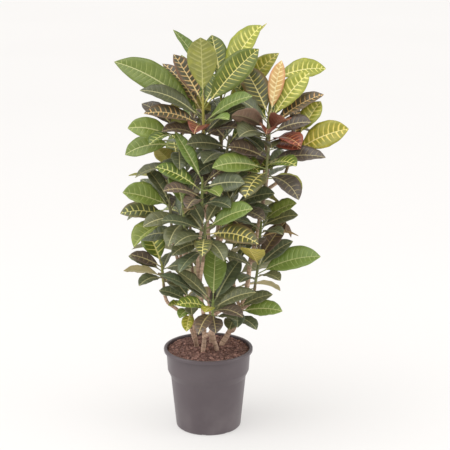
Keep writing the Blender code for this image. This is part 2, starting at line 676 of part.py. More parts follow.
def spiral_row(index, shoot, draw):
    """A row for a leaf placed by the spiral, the first ones uppermost.

    The blade leans to the outside of the plant, where its light comes from.
    """
    count, start, size, tones = shoot["spiral"]
    share = (index + 0.5) / count
    heading = (start + GOLDEN_ANGLE * index) % 360
    reach = 1000 * size * draw.uniform(*FILL_REACH) * (0.90 + 0.20 * share)
    outside = math.atan2(shoot["tip"][1] - PLANT_AXIS[1], shoot["tip"][0] - PLANT_AXIS[0])
    lean = SPIRAL_LEAN * math.sin(outside - math.radians(heading))
    front = -1.0 if math.cos(math.radians(heading)) > 0 else 1.0
    return (heading, 50 - 84 * share + draw.uniform(-7, 7), reach,
            reach * FILL_WIDTH_SHARE * draw.uniform(0.92, 1.1), 14 + 40 * share,
            front * lean + draw.uniform(-12, 12), draw.uniform(11, 18), draw.choice(tones))


def place_leaf(leaf, name, taken, fixed):
    """Bend a leaf clear of all there is; returns it, or None if no room is left."""
    for turn, lift, roll, size in ATTEMPTS:
        trial = dict(leaf)
        trial["roll"] = leaf["roll"] + roll
        trial["width"] = leaf["width"] * size
        trial["tip"] = leaf["crown"] + leaf["reach"] * size * direction_of(
            leaf["heading"] + turn, leaf["rise"] + lift)
        whole = BVHTree.FromPolygons(*leaf_mesh(trial, LEAF_CLEARANCE))
        blade = BVHTree.FromPolygons(*leaf_mesh(trial, LEAF_CLEARANCE, -STALK_FREE))
        if any((blade if owner == name else whole).overlap(tree) for owner, tree in fixed):
            continue
        middle = (trial["base"] + trial["tip"]) / 2
        radius = (trial["tip"] - trial["base"]).length / 2 + trial["width"] / 2
        near = [other for other in taken if (other["middle"] - middle).length < other["radius"] + radius]
        if any(blade.overlap(other["blade"]) if other["owner"] == name
               else whole.overlap(other["whole"]) for other in near):
            continue
        trial.update(owner=name, whole=whole, blade=blade, middle=middle, radius=radius)
        return trial
    return None


def leaves_of(name, seed):
    """Set leaves and spiral leaves of a shoot, the steepest nearest its tip."""
    shoot = SHOOTS[name]
    draw = random.Random(seed)
    foot, tip = Vector(shoot["foot"]), Vector(shoot["tip"])
    given = sorted(shoot["leaves"], key=lambda row: -row[1])
    more = [spiral_row(index, shoot, draw) for index in range(shoot["spiral"][0])]
    made = []
    for rows, low in ((given, GIVEN_LOW), (more, SPIRAL_LOW)):
        leaves = []
        for index, row in enumerate(rows):
            share = LEAF_TOP - (LEAF_TOP - low) * (index + 0.5 * (rows is more)) / max(len(rows), 2)
            base = foot.lerp(tip, share)
            leaf = set_leaf(tip if rows is given else base, row, draw)
            leaf["base"] = base
            leaves.append(leaf)
        made.append(leaves)
    return made


def grow_leaves(fixed):
    """All leaves of the plant, set leaves of every shoot before spiral ones."""
    made = {name: leaves_of(name, LEAF_SEED + index) for index, name in enumerate(SHOOTS)}
    taken = []
    for group in (0, 1):
        for name in SHOOTS:
            for leaf in made[name][group]:
                found = place_leaf(leaf, name, taken, fixed)
                if found:
                    taken.append(found)
    return taken


def shoot_rod(name):
    """Points and faces of a shoot's green stem with its bud."""
    foot, direction = foot_of(name)
    tip = Vector(SHOOTS[name]["tip"])
    curve = [foot + SHOOT_GAP * direction, (foot + tip) / 2, tip, tip + SHOOT_BUD * direction]
    radii = [SHOOT_RADIUS, 0.5 * (SHOOT_RADIUS + SHOOT_TIP_RADIUS), SHOOT_TIP_RADIUS, 0.0008]
    return tube(curve, radii, SHOOT_SIDES)


# ================================================================= pieces
def make_pot():
    """Thin-walled pot with a hollow lip, a stacking step and drain slots."""
    pot = new_object("pot", *turned(POT_SECTION, POT_SIDES))
    cutters = []
    for index in range(DRAIN_HOLES):
        turn = Matrix.Rotation(math.tau * (index + DRAIN_TURN) / DRAIN_HOLES, 4, "Z")
        hole = [Vector((DRAIN_HOLE_REACH, 0.0, -POT_FLOOR)), Vector((DRAIN_HOLE_REACH, 0.0, 2 * POT_FLOOR))]
        points, faces = tube(hole, [DRAIN_HOLE_RADIUS] * 2, CUT_SIDES)
        cutters.append(new_object("hole", [turn @ point for point in points], faces))
        half = DRAIN_SLOT_WIDTH / 2
        corners = [Vector((x, y, z)) for x in (DRAIN_HOLE_REACH, POT_RIM_RADIUS)
                   for y in (-half, half) for z in (-DRAIN_SLOT_DEPTH, DRAIN_SLOT_DEPTH)]
        box = ((0, 1, 3, 2), (4, 6, 7, 5), (0, 4, 5, 1), (2, 3, 7, 6), (0, 2, 6, 4), (1, 5, 7, 3))
        cutters.append(new_object("slot", [turn @ corner for corner in corners], box))
    return finish(combine(pot, cutters, "DIFFERENCE"), "pot", "pot")


def make_soil():
    """Peat that fills the pot, rough on top, with a plain hole for every stem."""
    draw = random.Random(SOIL_SEED)
    inner = [(radius - SOIL_GAP, height + SOIL_GAP) for radius, height in POT_SECTION[-2:-7:-1]]
    edge_radius = inner[-2][0] + (SOIL_TOP - inner[-2][1]) * (
        (inner[-1][0] - inner[-2][0]) / (inner[-1][1] - inner[-2][1]))
    section = [(0.0, inner[0][1])] + inner[:-1] + [(edge_radius, SOIL_TOP)]
    section += [(radius, SOIL_TOP) for radius in reversed(SOIL_RINGS)]
    section.append((0.0, SOIL_TOP + SOIL_MOUND))
    points, faces = turned(section, SOIL_SIDES)
    rough = []
    for x, y, z in points:
        if z >= SOIL_TOP:
            radius = math.hypot(x, y)
            z += SOIL_MOUND * max(0.0, 1 - (radius / edge_radius) ** 2) + draw.uniform(-1, 1) * SOIL_ROUGH
        rough.append((x, y, z))
    soil = new_object("soil", rough, faces)
    cutters = []
    for name, stem in STEMS.items():
        x, y, z = stem["course"][0]
        radius = stem["radius"] + STEM_HOLE_GAP
        hole = [Vector((x, y, STEM_ROOT_Z - STEM_HOLE_GAP)), Vector((x, y, z + 0.03))]
        cutters.append(new_object(name + "_hole", *tube(hole, [radius] * 2, 2 * STEM_SIDES)))
    return finish(combine(soil, cutters, "DIFFERENCE"), "soil", "soil")


def make_shoot(name, leaves):
    """One leafy shoot: green stem with the stalks of its leaves sunk in."""
    stem = new_object(name, *shoot_rod(name))
    blades = [new_object("leaf", *leaf_mesh(leaf)) for leaf in leaves]
    solver = "MANIFOLD" if name in MANIFOLD_SHOOTS else "EXACT"
    return finish(combine(stem, blades, "UNION", solver), "shoot_" + name, "leaf")


def tree_of(thing, owner=None):
    """Owner and search tree of a piece for the clearance test."""
    points = [vertex.co.copy() for vertex in thing.data.vertices]
    faces = [tuple(face.vertices) for face in thing.data.polygons]
    return owner, BVHTree.FromPolygons(points, faces)


def main():
    for thing in list(bpy.data.objects):
        bpy.data.objects.remove(thing)
    pot = make_pot()
    soil = make_soil()
    fixed = [tree_of(pot), tree_of(soil)]
    for name in STEMS:
        fixed.append(tree_of(make_stem(name)))
    for name in SHOOTS:
        fixed.append((name, BVHTree.FromPolygons(*shoot_rod(name))))
    leaves = grow_leaves(fixed)
    for name in SHOOTS:
        make_shoot(name, [leaf for leaf in leaves if leaf["owner"] == name])


main()
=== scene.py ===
"""Potted croton: the finished plant in its nursery pot, laid out as an add-on.

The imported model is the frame.  Pot, soil, stems and leafy shoots are replaced
by finer pieces of the same form, coloured by node materials.  Metres, +Z up,
+X to the right and -Y to the front of the plant.
"""

import itertools
import json
import math
import random

import bmesh
import bpy
import numpy as np
from bpy.props import (FloatProperty, FloatVectorProperty, IntProperty,
                       PointerProperty)
from mathutils import Matrix, Vector, noise
from mathutils.bvhtree import BVHTree

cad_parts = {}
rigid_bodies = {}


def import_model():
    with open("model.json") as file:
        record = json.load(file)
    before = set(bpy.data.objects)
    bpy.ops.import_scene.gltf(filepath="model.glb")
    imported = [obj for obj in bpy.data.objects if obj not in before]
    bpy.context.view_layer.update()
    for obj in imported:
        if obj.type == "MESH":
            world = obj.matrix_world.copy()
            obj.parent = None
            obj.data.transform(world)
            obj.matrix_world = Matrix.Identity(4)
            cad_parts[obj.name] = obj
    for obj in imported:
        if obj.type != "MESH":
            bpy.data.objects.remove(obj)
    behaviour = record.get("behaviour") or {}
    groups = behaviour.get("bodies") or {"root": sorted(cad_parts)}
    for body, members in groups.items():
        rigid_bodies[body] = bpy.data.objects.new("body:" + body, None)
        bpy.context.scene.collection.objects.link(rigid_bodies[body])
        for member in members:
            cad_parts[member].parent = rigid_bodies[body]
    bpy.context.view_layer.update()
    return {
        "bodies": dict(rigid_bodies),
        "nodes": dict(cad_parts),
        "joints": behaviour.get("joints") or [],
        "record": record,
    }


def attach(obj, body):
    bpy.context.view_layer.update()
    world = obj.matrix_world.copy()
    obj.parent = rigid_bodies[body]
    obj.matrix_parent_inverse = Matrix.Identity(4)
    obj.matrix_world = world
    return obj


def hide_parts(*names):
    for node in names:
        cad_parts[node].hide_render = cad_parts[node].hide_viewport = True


bl_info = {
    "name": "Potted Croton",
    "version": (1, 0, 0),
    "blender": (4, 5, 0),
    "location": "View3D > Sidebar > Croton",
    "description": "Makes a potted croton: pot, soil, stems, leafy shoots and a stage",
    "category": "Add Mesh",
}

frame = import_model()

# ------------------------------------------------------------------ pot
POT_HEIGHT = 0.222
POT_RIM_RADIUS = 0.120
POT_BASE_RADIUS = 0.084
POT_FLOOR = 0.003
# radius and height of the section, from the underside up the outside,
# over the hollow lip and down the inside to the floor
POT_SECTION = (
    (0.0, 0.0),
    (POT_BASE_RADIUS, 0.0),
    (0.0875, 0.004),
    (0.1012, 0.142),
    (0.1098, 0.161),
    (0.1134, 0.2185),
    (0.1178, 0.2185),
    (0.1182, 0.2130),
    (0.1195, 0.2130),
    (POT_RIM_RADIUS, 0.2190),
    (0.1188, POT_HEIGHT),
    (0.1122, POT_HEIGHT),
    (0.1114, 0.2205),
    (0.1079, 0.1622),
    (0.0992, 0.1432),
    (0.0856, 0.0065),
    (0.0820, POT_FLOOR),
    (0.0, POT_FLOOR),
)
DRAIN_HOLES = 8
DRAIN_HOLE_RADIUS = 0.005
DRAIN_HOLE_REACH = 0.066
DRAIN_SLOT_WIDTH = 0.012
DRAIN_SLOT_DEPTH = 0.0022
DRAIN_TURN = 0.82
CUT_SIDES = 8

# ----------------------------------------------------------------- peat
SOIL_GAP = 0.0004
SOIL_TOP = 0.211
SOIL_MOUND = 0.004

# ---------------------------------------------------------------- stems
STEM_ROOT_Z = 0.150
SHOOT_GAP = 0.0003
SHOOT_SIDES = 5
SHOOT_RADIUS = 0.0042
SHOOT_TIP_RADIUS = 0.0027
SHOOT_BUD = 0.007

# main course of every stem from the peat to the foot of its last shoot,
# its thickness at the bottom and the side branches: (course point the
# branch leaves, points on its way, shoot it carries)
STEMS = {
    "stem_front": {
        "course": ((-0.014, -0.022, 0.218), (-0.010, -0.034, 0.262), (-0.012, -0.048, 0.330),
                   (-0.022, -0.052, 0.410), (-0.026, -0.056, 0.490)),
        "radius": 0.0060, "ends": "upper_front",
        "branches": ((1, ((0.004, -0.058, 0.280),), "low_front"),
                     (3, ((-0.018, -0.074, 0.446),), "middle_front")),
    },
    "stem_middle": {
        "course": ((0.023, -0.010, 0.218), (0.012, -0.008, 0.262), (0.006, 0.002, 0.350),
                   (0.004, 0.012, 0.480), (-0.002, 0.012, 0.580)),
        "radius": 0.0062, "ends": "crown_left",
        "branches": ((4, ((-0.034, 0.000, 0.632),), "upper_left"),
                     (4, ((0.020, 0.000, 0.630),), "centre_upper"),
                     (3, ((0.028, -0.004, 0.510),), "centre_middle")),
    },
    "stem_right": {
        "course": ((0.036, 0.030, 0.218), (0.058, 0.028, 0.258), (0.086, 0.027, 0.318),
                   (0.104, 0.030, 0.380), (0.113, 0.031, 0.455), (0.128, 0.032, 0.515),
                   (0.137, 0.031, 0.570), (0.151, 0.021, 0.650)),
        "radius": 0.0075, "ends": "crown_right",
        "branches": ((1, ((0.066, -0.002, 0.268),), "low_right"),
                     (2, ((0.106, 0.004, 0.338),), "right_lower"),
                     (2, ((0.076, 0.034, 0.352),), "centre_low"),
                     (4, ((0.122, 0.008, 0.462),), "right_middle"),
                     (6, ((0.142, 0.004, 0.598),), "upper_right"),
                     (7, ((0.178, 0.008, 0.672),), "far_right"),
                     (7, ((0.150, 0.054, 0.690),), "back_crown_right")),
    },
    "stem_left": {
        "course": ((-0.032, 0.018, 0.218), (-0.042, 0.020, 0.285), (-0.058, 0.020, 0.350),
                   (-0.070, 0.018, 0.420), (-0.083, 0.004, 0.474)),
        "radius": 0.0055, "ends": "left_middle",
        "branches": ((0, ((-0.040, -0.012, 0.256),), "low_left"),
                     (1, ((-0.084, 0.006, 0.326), (-0.108, -0.008, 0.350)), "left_lower"),
                     (2, ((-0.072, 0.052, 0.430), (-0.076, 0.074, 0.500)), "back_left"),
                     (3, ((-0.064, -0.030, 0.470),), "left_front"),
                     (3, ((-0.058, 0.030, 0.480),), "left_inner")),
    },
    "stem_back": {
        "course": ((0.008, 0.045, 0.218), (0.012, 0.060, 0.290), (0.020, 0.074, 0.400),
                   (0.026, 0.080, 0.520), (0.034, 0.084, 0.640)),
        "radius": 0.0062, "ends": "crown_back",
        "branches": ((1, ((0.044, 0.088, 0.304),), "back_low_right"),
                     (2, ((0.026, 0.098, 0.436),), "back_middle"),
                     (1, ((-0.010, 0.086, 0.350),), "back_low_left"),
                     (3, ((0.026, 0.106, 0.584),), "back_upper"),
                     (3, ((0.070, 0.092, 0.546),), "back_right"),
                     (4, ((0.000, 0.084, 0.676),), "back_crown_left")),
    },
}
BRANCH_RADIUS = 0.0048

# --------------------------------------------------------------- leaves
BLADE_THICKNESS = 0.0008
STALK_WIDTH = 0.0030
STALK_DEPTH = 0.0028
LONG_LEAF = 0.19
SHORT_PLACES = (0.0, 0.30, 0.66, 1.0)
LONG_PLACES = (0.0, 0.24, 0.50, 0.76, 1.0)
CURVE_STEPS = 40
BEND_POWER = 1.2
BASE_POWER = 0.95
TIP_POWER = 0.84
LEAF_CLEARANCE = 0.0021
STALK_FREE = 0.55
GOLDEN_ANGLE = 137.5
LEAF_SEED = 24
LEAF_TOP = 0.97
GIVEN_LOW = 0.40
SPIRAL_LOW = 0.05
# turn by which the wave of one margin is ahead of the other's
SIDE_PHASE = 0.37

# Every leafy shoot: the foot and the tip of its green stem, the leaves that
# follow by the spiral rule (how many, heading of the first, share of full
# size, tones) and the leaves that are set one by one.  A set leaf reads
#   heading (0 right, 90 to the back, 270 to the front), rise and reach of
#   its tip seen from the shoot's tip, width, droop along the blade, tilt
#   of the upper face to the front, fold at the midrib and leaf tone.
# Lengths in millimetres, angles in degrees.  Tones: g green and v dark green
# with yellow veins, d dark green, p plain bright green, y young yellow, o dark
# with orange veins, c cream, r red and m maroon, which some d leaves turn.
SHOOTS = {
    "crown_left": {
        "foot": (-0.008, 0.000, 0.700), "tip": (-0.012, -0.020, 0.905),
        "spiral": (5, 40, 0.95, "gd"),
        "leaves": (
            (25, 36, 198, 77, 16, 52, 15, "g"), (168, 16, 250, 80, 28, 50, 13, "p"),
            (155, 66, 136, 68, 8, 26, 15, "o"), (120, 48, 150, 50, 14, -20, 19, "g"),
            (266, 70, 174, 79, 26, 0, 13, "y"), (136, 30, 166, 47, 25, 24, 15, "o"),
            (180, 8, 164, 54, 42, 44, 15, "d"), (196, -12, 160, 50, 40, 38, 17, "o"),
            (261, -20, 146, 59, 58, 10, 21, "r"), (334, 6, 142, 56, 30, 38, 15, "p"),
            (302, -16, 132, 50, 45, 20, 15, "p"), (206, -34, 140, 52, 50, 26, 15, "d"),
            (326, -32, 130, 50, 46, 20, 15, "d")),
    },
    "crown_right": {
        "foot": (0.156, 0.010, 0.700), "tip": (0.162, 0.000, 0.856),
        "spiral": (4, 60, 0.90, "dg"),
        "leaves": (
            (126, 44, 166, 76, 14, 18, 13, "v"), (148, 32, 132, 58, 22, 26, 15, "g"),
            (200, 28, 116, 54, 26, 42, 13, "d"), (60, 66, 148, 49, 8, 26, 31, "c"),
            (20, 44, 152, 63, 18, 44, 15, "y"), (8, 20, 150, 57, 26, 26, 19, "o"),
            (290, 4, 118, 59, 35, -20, 31, "r"), (304, -16, 146, 67, 48, 10, 17, "r"),
            (264, -10, 136, 54, 48, 10, 31, "r"), (226, 8, 146, 58, 24, -46, 15, "m"),
            (236, -10, 166, 70, 45, 24, 13, "d"), (340, -6, 112, 54, 32, 38, 15, "d"),
            (275, -42, 120, 52, 50, 0, 15, "d"), (318, -28, 128, 58, 40, 30, 13, "r"),
            (346, -44, 108, 54, 50, 10, 15, "d")),
    },
    "far_right": {
        "foot": (0.200, -0.004, 0.694), "tip": (0.234, -0.026, 0.806),
        "spiral": (2, 75, 0.72, "yg"),
        "leaves": (
            (37, 56, 112, 57, 12, 24, 15, "y"), (352, 10, 132, 76, 22, 54, 13, "y"),
            (90, 34, 104, 47, 22, 20, 21, "o")),
    },
    "left_middle": {
        "foot": (-0.092, -0.016, 0.520), "tip": (-0.100, -0.040, 0.638),
        "spiral": (1, 60, 0.90, "d"),
        "leaves": (
            (188, 20, 124, 77, 20, 40, 21, "p"), (138, 42, 112, 47, 18, 12, 17, "d"),
            (214, -45, 154, 70, 46, 12, 35, "p"), (186, -14, 132, 57, 38, 44, 15, "v"),
            (242, -4, 88, 36, 40, 20, 19, "p"), (130, 16, 128, 50, 28, 20, 15, "d")),
    },
    "upper_right": {
        "foot": (0.146, -0.022, 0.634), "tip": (0.155, -0.056, 0.765),
        "spiral": (1, 60, 0.85, "d"),
        "leaves": (
            (340, 8, 152, 61, 30, 42, 13, "d"), (312, -4, 124, 54, 36, 24, 13, "g"),
            (236, -42, 142, 67, 52, 6, 11, "v"), (320, -46, 146, 58, 60, 18, 15, "d"),
            (16, -52, 142, 49, 80, -52, 19, "g"), (190, 12, 108, 49, 30, 42, 15, "d"),
            (204, -8, 158, 58, 36, 50, 13, "p"), (96, 20, 110, 47, 28, 0, 17, "d")),
    },
    "upper_front": {
        "foot": (-0.016, -0.064, 0.570), "tip": (-0.013, -0.096, 0.708),
        "spiral": (2, 75, 0.90, "d"),
        "leaves": (
            (148, 62, 142, 40, 8, 30, 19, "p"), (350, 20, 112, 58, 26, 42, 13, "d"),
            (20, 22, 148, 58, 28, 34, 13, "d"), (250, -18, 118, 50, 48, 10, 17, "d"),
            (180, 15, 124, 52, 30, 40, 15, "g"), (292, -8, 122, 50, 45, 10, 15, "p"),
            (212, -8, 116, 47, 42, 30, 15, "d"), (320, -32, 112, 49, 45, 20, 15, "d")),
    },
    "middle_front": {
        "foot": (-0.012, -0.088, 0.488), "tip": (-0.005, -0.132, 0.600),
        "spiral": (2, 100, 0.80, "d"),
        "leaves": (
            (336, 26, 142, 65, 26, 44, 11, "p"), (336, -14, 152, 58, 40, 42, 13, "v"),
            (266, -28, 112, 50, 50, 0, 17, "v"), (112, 40, 82, 36, 12, 10, 17, "d"),
            (60, 54, 92, 36, 12, 10, 17, "d"), (194, 8, 116, 49, 32, 20, 15, "d"),
            (226, -18, 116, 47, 48, 20, 15, "d"), (300, -34, 122, 49, 55, 10, 15, "d"),
            (200, -40, 118, 49, 50, 30, 15, "d")),
    },
    "left_front": {
        "foot": (-0.060, -0.056, 0.516), "tip": (-0.062, -0.096, 0.632),
        "spiral": (2, 20, 0.80, "dg"),
        "leaves": (
            (112, 50, 128, 50, 14, 12, 17, "p"), (288, 20, 92, 34, 20, 0, 19, "o"),
            (250, -28, 120, 49, 55, 4, 15, "d"), (200, -20, 116, 49, 40, 34, 15, "d"),
            (296, -38, 110, 47, 50, 6, 15, "d")),
    },
    "upper_left": {
        "foot": (-0.062, -0.012, 0.676), "tip": (-0.082, -0.030, 0.830),
        "spiral": (2, 60, 0.85, "d"),
        "leaves": (
            (181, 3, 124, 60, 38, 54, 13, "p"), (170, -30, 156, 59, 40, 50, 13, "p"),
            (244, -50, 132, 57, 58, 8, 17, "d"), (262, 6, 108, 49, 42, 6, 17, "g"),
            (140, 22, 128, 50, 28, 22, 15, "d"), (280, -34, 118, 50, 50, 0, 15, "d")),
    },
    "right_middle": {
        "foot": (0.132, -0.010, 0.478), "tip": (0.140, -0.030, 0.576),
        "spiral": (2, 75, 0.80, "d"),
        "leaves": (
            (340, 32, 114, 54, 34, 38, 13, "p"), (352, 14, 100, 49, 28, 36, 15, "d"),
            (300, 4, 106, 45, 36, 10, 15, "d"), (338, -14, 108, 29, 40, -34, 19, "o"),
            (222, 14, 108, 45, 30, 24, 15, "d"), (262, -20, 112, 47, 44, 0, 15, "d")),
    },
    "right_lower": {
        "foot": (0.120, -0.014, 0.362), "tip": (0.134, -0.034, 0.474),
        "spiral": (2, 75, 0.75, "d"),
        "leaves": (
            (352, 6, 164, 72, 30, 44, 13, "p"), (258, 44, 128, 67, 12, 0, 15, "y"),
            (10, 28, 104, 50, 24, 36, 15, "d"),
            (302, -16, 106, 45, 44, 8, 15, "d"), (206, 14, 106, 45, 30, 24, 15, "d"),
            (22, 66, 126, 54, 12, 30, 15, "d"), (240, -18, 108, 47, 44, 14, 15, "d")),
    },
    "left_lower": {
        "foot": (-0.116, -0.013, 0.374), "tip": (-0.122, -0.022, 0.460),
        "spiral": (1, 80, 0.75, "d"),
        "leaves": (
            (185, 2, 104, 45, 24, -52, 17, "d"), (172, 12, 92, 43, 30, 30, 15, "d"),
            (190, 24, 90, 41, 22, 42, 15, "d"), (280, 4, 94, 38, 34, 6, 17, "o"),
            (120, 42, 114, 65, 16, 22, 15, "g"), (232, -22, 100, 41, 48, 18, 15, "d"),
            (352, 14, 104, 50, 30, 30, 15, "d"), (304, -22, 100, 46, 40, 14, 15, "d")),
    },
    "low_front": {
        "foot": (0.010, -0.078, 0.300), "tip": (0.014, -0.112, 0.388),
        "spiral": (0, 0, 1.0, "d"),
        "leaves": (
            (86, 50, 156, 65, 14, 4, 13, "p"), (40, 34, 150, 54, 20, 26, 13, "d"),
            (284, 16, 76, 36, 22, 0, 17, "y"), (244, -38, 108, 45, 52, 6, 15, "d"),
            (182, 27, 158, 54, 30, 32, 13, "d"), (352, 14, 116, 45, 30, 40, 15, "d"),
            (214, 4, 114, 45, 38, 34, 15, "g"), (322, -44, 84, 45, 32, 10, 13, "d"),
            (280, -38, 86, 45, 36, 0, 13, "d"), (318, -8, 106, 47, 44, 16, 15, "d"),
            (148, 42, 128, 52, 20, 20, 13, "d")),
    },
    "low_right": {
        "foot": (0.072, -0.020, 0.284), "tip": (0.078, -0.048, 0.348),
        "spiral": (1, 80, 0.75, "d"),
        "leaves": (
            (346, 8, 122, 54, 28, 48, 11, "p"), (6, 20, 100, 45, 24, 30, 15, "d"),
            (318, -34, 82, 40, 46, 16, 15, "d"), (270, -8, 92, 41, 44, 0, 15, "d"),
            (118, 20, 112, 45, 28, 0, 15, "d"), (250, -30, 76, 44, 40, 0, 15, "d")),
    },
    "low_left": {
        "foot": (-0.046, -0.032, 0.286), "tip": (-0.046, -0.060, 0.376),
        "spiral": (1, 80, 0.75, "d"),
        "leaves": (
            (196, -4, 62, 36, 30, 30, 15, "g"), (246, -26, 74, 36, 46, 10, 15, "p"),
            (258, -58, 88, 34, 60, 0, 17, "y"), (134, 25, 108, 45, 26, 22, 15, "d"),
            (158, 8, 92, 44, 30, 20, 15, "d"), (274, -4, 84, 40, 36, 6, 15, "d")),
    },
    "centre_upper": {
        "foot": (0.036, -0.010, 0.680), "tip": (0.056, -0.016, 0.800),
        "spiral": (0, 0, 1.0, "d"),
        "leaves": (
            (196, 12, 126, 54, 26, 42, 13, "d"), (242, -12, 132, 56, 42, 20, 13, "d"),
            (178, 30, 98, 50, 24, 30, 15, "d"),
            (292, -20, 130, 54, 44, 8, 15, "d"), (334, -30, 122, 52, 42, 30, 13, "g"),
            (112, 36, 128, 50, 22, 10, 15, "d"), (30, 30, 122, 50, 24, 26, 15, "g"),
            (210, -42, 130, 54, 46, 30, 13, "d"), (66, -8, 124, 50, 34, 0, 15, "d")),
    },
    "centre_middle": {
        "foot": (0.044, -0.014, 0.545), "tip": (0.064, -0.034, 0.640),
        "spiral": (3, 200, 0.85, "d"),
        "leaves": (
            (342, 12, 118, 52, 26, 42, 13, "d"), (300, -20, 124, 52, 44, 14, 13, "d"),
            (255, -14, 118, 50, 40, 6, 13, "g"), (60, 30, 112, 47, 24, 10, 15, "d"),
            (128, 14, 116, 49, 28, 10, 15, "d"), (330, -44, 116, 49, 48, 24, 13, "d")),
    },
    "centre_low": {
        "foot": (0.068, 0.034, 0.390), "tip": (0.056, 0.026, 0.480),
        "spiral": (3, 330, 0.85, "d"),
        "leaves": (
            (196, 14, 128, 52, 26, 42, 13, "d"), (300, 10, 116, 52, 34, 16, 13, "d"),
            (250, -10, 124, 52, 38, 10, 13, "d"), (26, 30, 112, 49, 24, 24, 15, "d"),
            (128, 4, 112, 49, 28, 10, 15, "d")),
    },
    "left_inner": {
        "foot": (-0.048, 0.036, 0.530), "tip": (-0.044, 0.034, 0.650),
        "spiral": (3, 250, 0.85, "d"),
        "leaves": (
            (200, 38, 112, 49, 18, 30, 13, "d"), (122, 18, 118, 50, 28, 10, 15, "d"),
            (70, 34, 112, 49, 22, 0, 15, "d"), (170, -16, 118, 50, 36, 20, 15, "d"),
            (20, -4, 104, 47, 30, 20, 15, "d")),
    },
    "crown_back": {
        "foot": (0.036, 0.086, 0.720), "tip": (0.034, 0.098, 0.935),
        "spiral": (8, 130, 0.98, "gd"),
        "leaves": (
            (349, 57, 180, 86, 20, 58, 17, "y"), (6, 46, 190, 41, 22, 12, 19, "y"),
            (158, 50, 184, 47, 12, 20, 17, "p"), (196, 42, 132, 52, 20, 26, 15, "d"),
            (108, 61, 132, 62, 12, 10, 15, "g"), (6, 23, 168, 74, 20, 40, 15, "y")),
    },
    "back_crown_right": {
        "foot": (0.152, 0.068, 0.724), "tip": (0.168, 0.070, 0.944),
        "spiral": (7, 165, 0.86, "gd"),
        "leaves": ((10, 7, 146, 64, 27, 42, 15, "y"),),
    },
    "back_crown_left": {
        "foot": (-0.026, 0.082, 0.706), "tip": (-0.046, 0.090, 0.810),
        "spiral": (6, 95, 0.85, "gd"),
        "leaves": (
            (340, 14, 122, 60, 30, 30, 15, "d"), (60, 50, 122, 56, 10, 0, 15, "d"),
            (24, 32, 128, 56, 22, 10, 15, "d")),
    },
    "back_upper": {
        "foot": (0.024, 0.120, 0.626), "tip": (0.022, 0.142, 0.745),
        "spiral": (9, 72, 1.04, "dg"), "leaves": (),
    },
    "back_left": {
        "foot": (-0.076, 0.088, 0.560), "tip": (-0.080, 0.108, 0.700),
        "spiral": (9, 101, 0.94, "dg"), "leaves": (),
    },
    "back_right": {
        "foot": (0.108, 0.104, 0.568), "tip": (0.128, 0.122, 0.668),
        "spiral": (8, 112, 0.92, "dg"), "leaves": (),
    },
    "back_middle": {
        "foot": (0.031, 0.116, 0.456), "tip": (0.034, 0.140, 0.556),
        "spiral": (9, 100, 1.00, "d"), "leaves": (),
    },
    "back_low_left": {
        "foot": (-0.044, 0.106, 0.400), "tip": (-0.056, 0.124, 0.500),
        "spiral": (6, 128, 1.00, "d"), "leaves": (),
    },
    "back_low_right": {
        "foot": (0.064, 0.106, 0.330), "tip": (0.078, 0.124, 0.420),
        "spiral": (7, 60, 0.94, "d"), "leaves": (),
    },
}
# reach of the spiral leaves, their width as a share of it, how far they
# lean to the outside and the plant's middle axis they lean away from
FILL_REACH = (0.138, 0.172)
FILL_WIDTH_SHARE = 0.385
SPIRAL_LEAN = 42.0
PLANT_AXIS = (0.030, 0.010)
# ways to bend a leaf that meets another one, the smallest change first:
# turn, lift and roll in degrees and share of the size
TURNS = (0, 4, -4, 8, -8, 14, -14, 22, -22, 30, -30)
LIFTS = (0, 4, -4, 8, -8, 14, -14, 22, -22)
ROLLS = (0, 10, -10, 20, -20, 32, -32)
SIZES = (1.0, 0.92, 0.82, 0.70)
ATTEMPTS = sorted(itertools.product(TURNS, LIFTS, ROLLS, SIZES),
                  key=lambda move: (abs(move[0]) / 8 + abs(move[1]) / 8
                                    + abs(move[2]) / 14 + (1 - move[3]) * 14))


# ------------------------------------------------------------ fine leaf
RIB_TABLE = 96
RINGS_PER_VEIN = 4
VEIN_SPACING = 0.0132
VEIN_ANGLE = 66.0
VEIN_PAIRS = (6, 17)
STALK_RINGS = 7
STALK_RADIUS = 0.00145
# swelling of the stalk: its share at the stem, at the blade as a share of
# that, and the lengths it runs over
PULVINUS = 0.45
BLADE_PULVINUS = 0.6
PULVINUS_RUN = (0.13, 0.12)
MARGIN_HALF = 0.00016
MIDDLE_HALF = 0.00034
RIB_DEPTH = 0.0011
RIB_HALF = 0.0022
RIB_SINK = 0.28
QUILT = 0.00042
# ripple on the margin's wave: its height as a share and its turns
RIPPLE = 0.55
RIPPLE_TURNS = 2.6
TIP_DRAW = 0.15
# columns crowd to the midrib, veins lean forward faster near the margin,
# the fold is rounded over the gutter and each half is cushioned
CROWDING = 1.3
SLANT_POWER = 1.6
GUTTER = 0.0025
CUSHION = 0.055
BLADE_NECK = 0.06
# half width of the painted midrib at the base and the share it loses
MIDRIB_HALF = 0.0021
MIDRIB_TAPER = 0.70
LOOK_SEED = 40
# the colours of lower leaves are made stronger, to make up for the shade of
# the foliage above them: factor for the lowest leaves, what is taken off it
# at the top, and the height where that starts and the range it takes
LOW_LEAF_LIGHT = 1.38
LIGHT_LOSS = 0.30
LIGHT_FROM = 0.30
LIGHT_RANGE = 0.70
LIGHT_SPREAD = (0.86, 1.14)
WARM_SPREAD = 0.10
TWIST = 14
# share of the dark leaves that have turned maroon, for each metre of height
MAROON_SHARE = 0.28

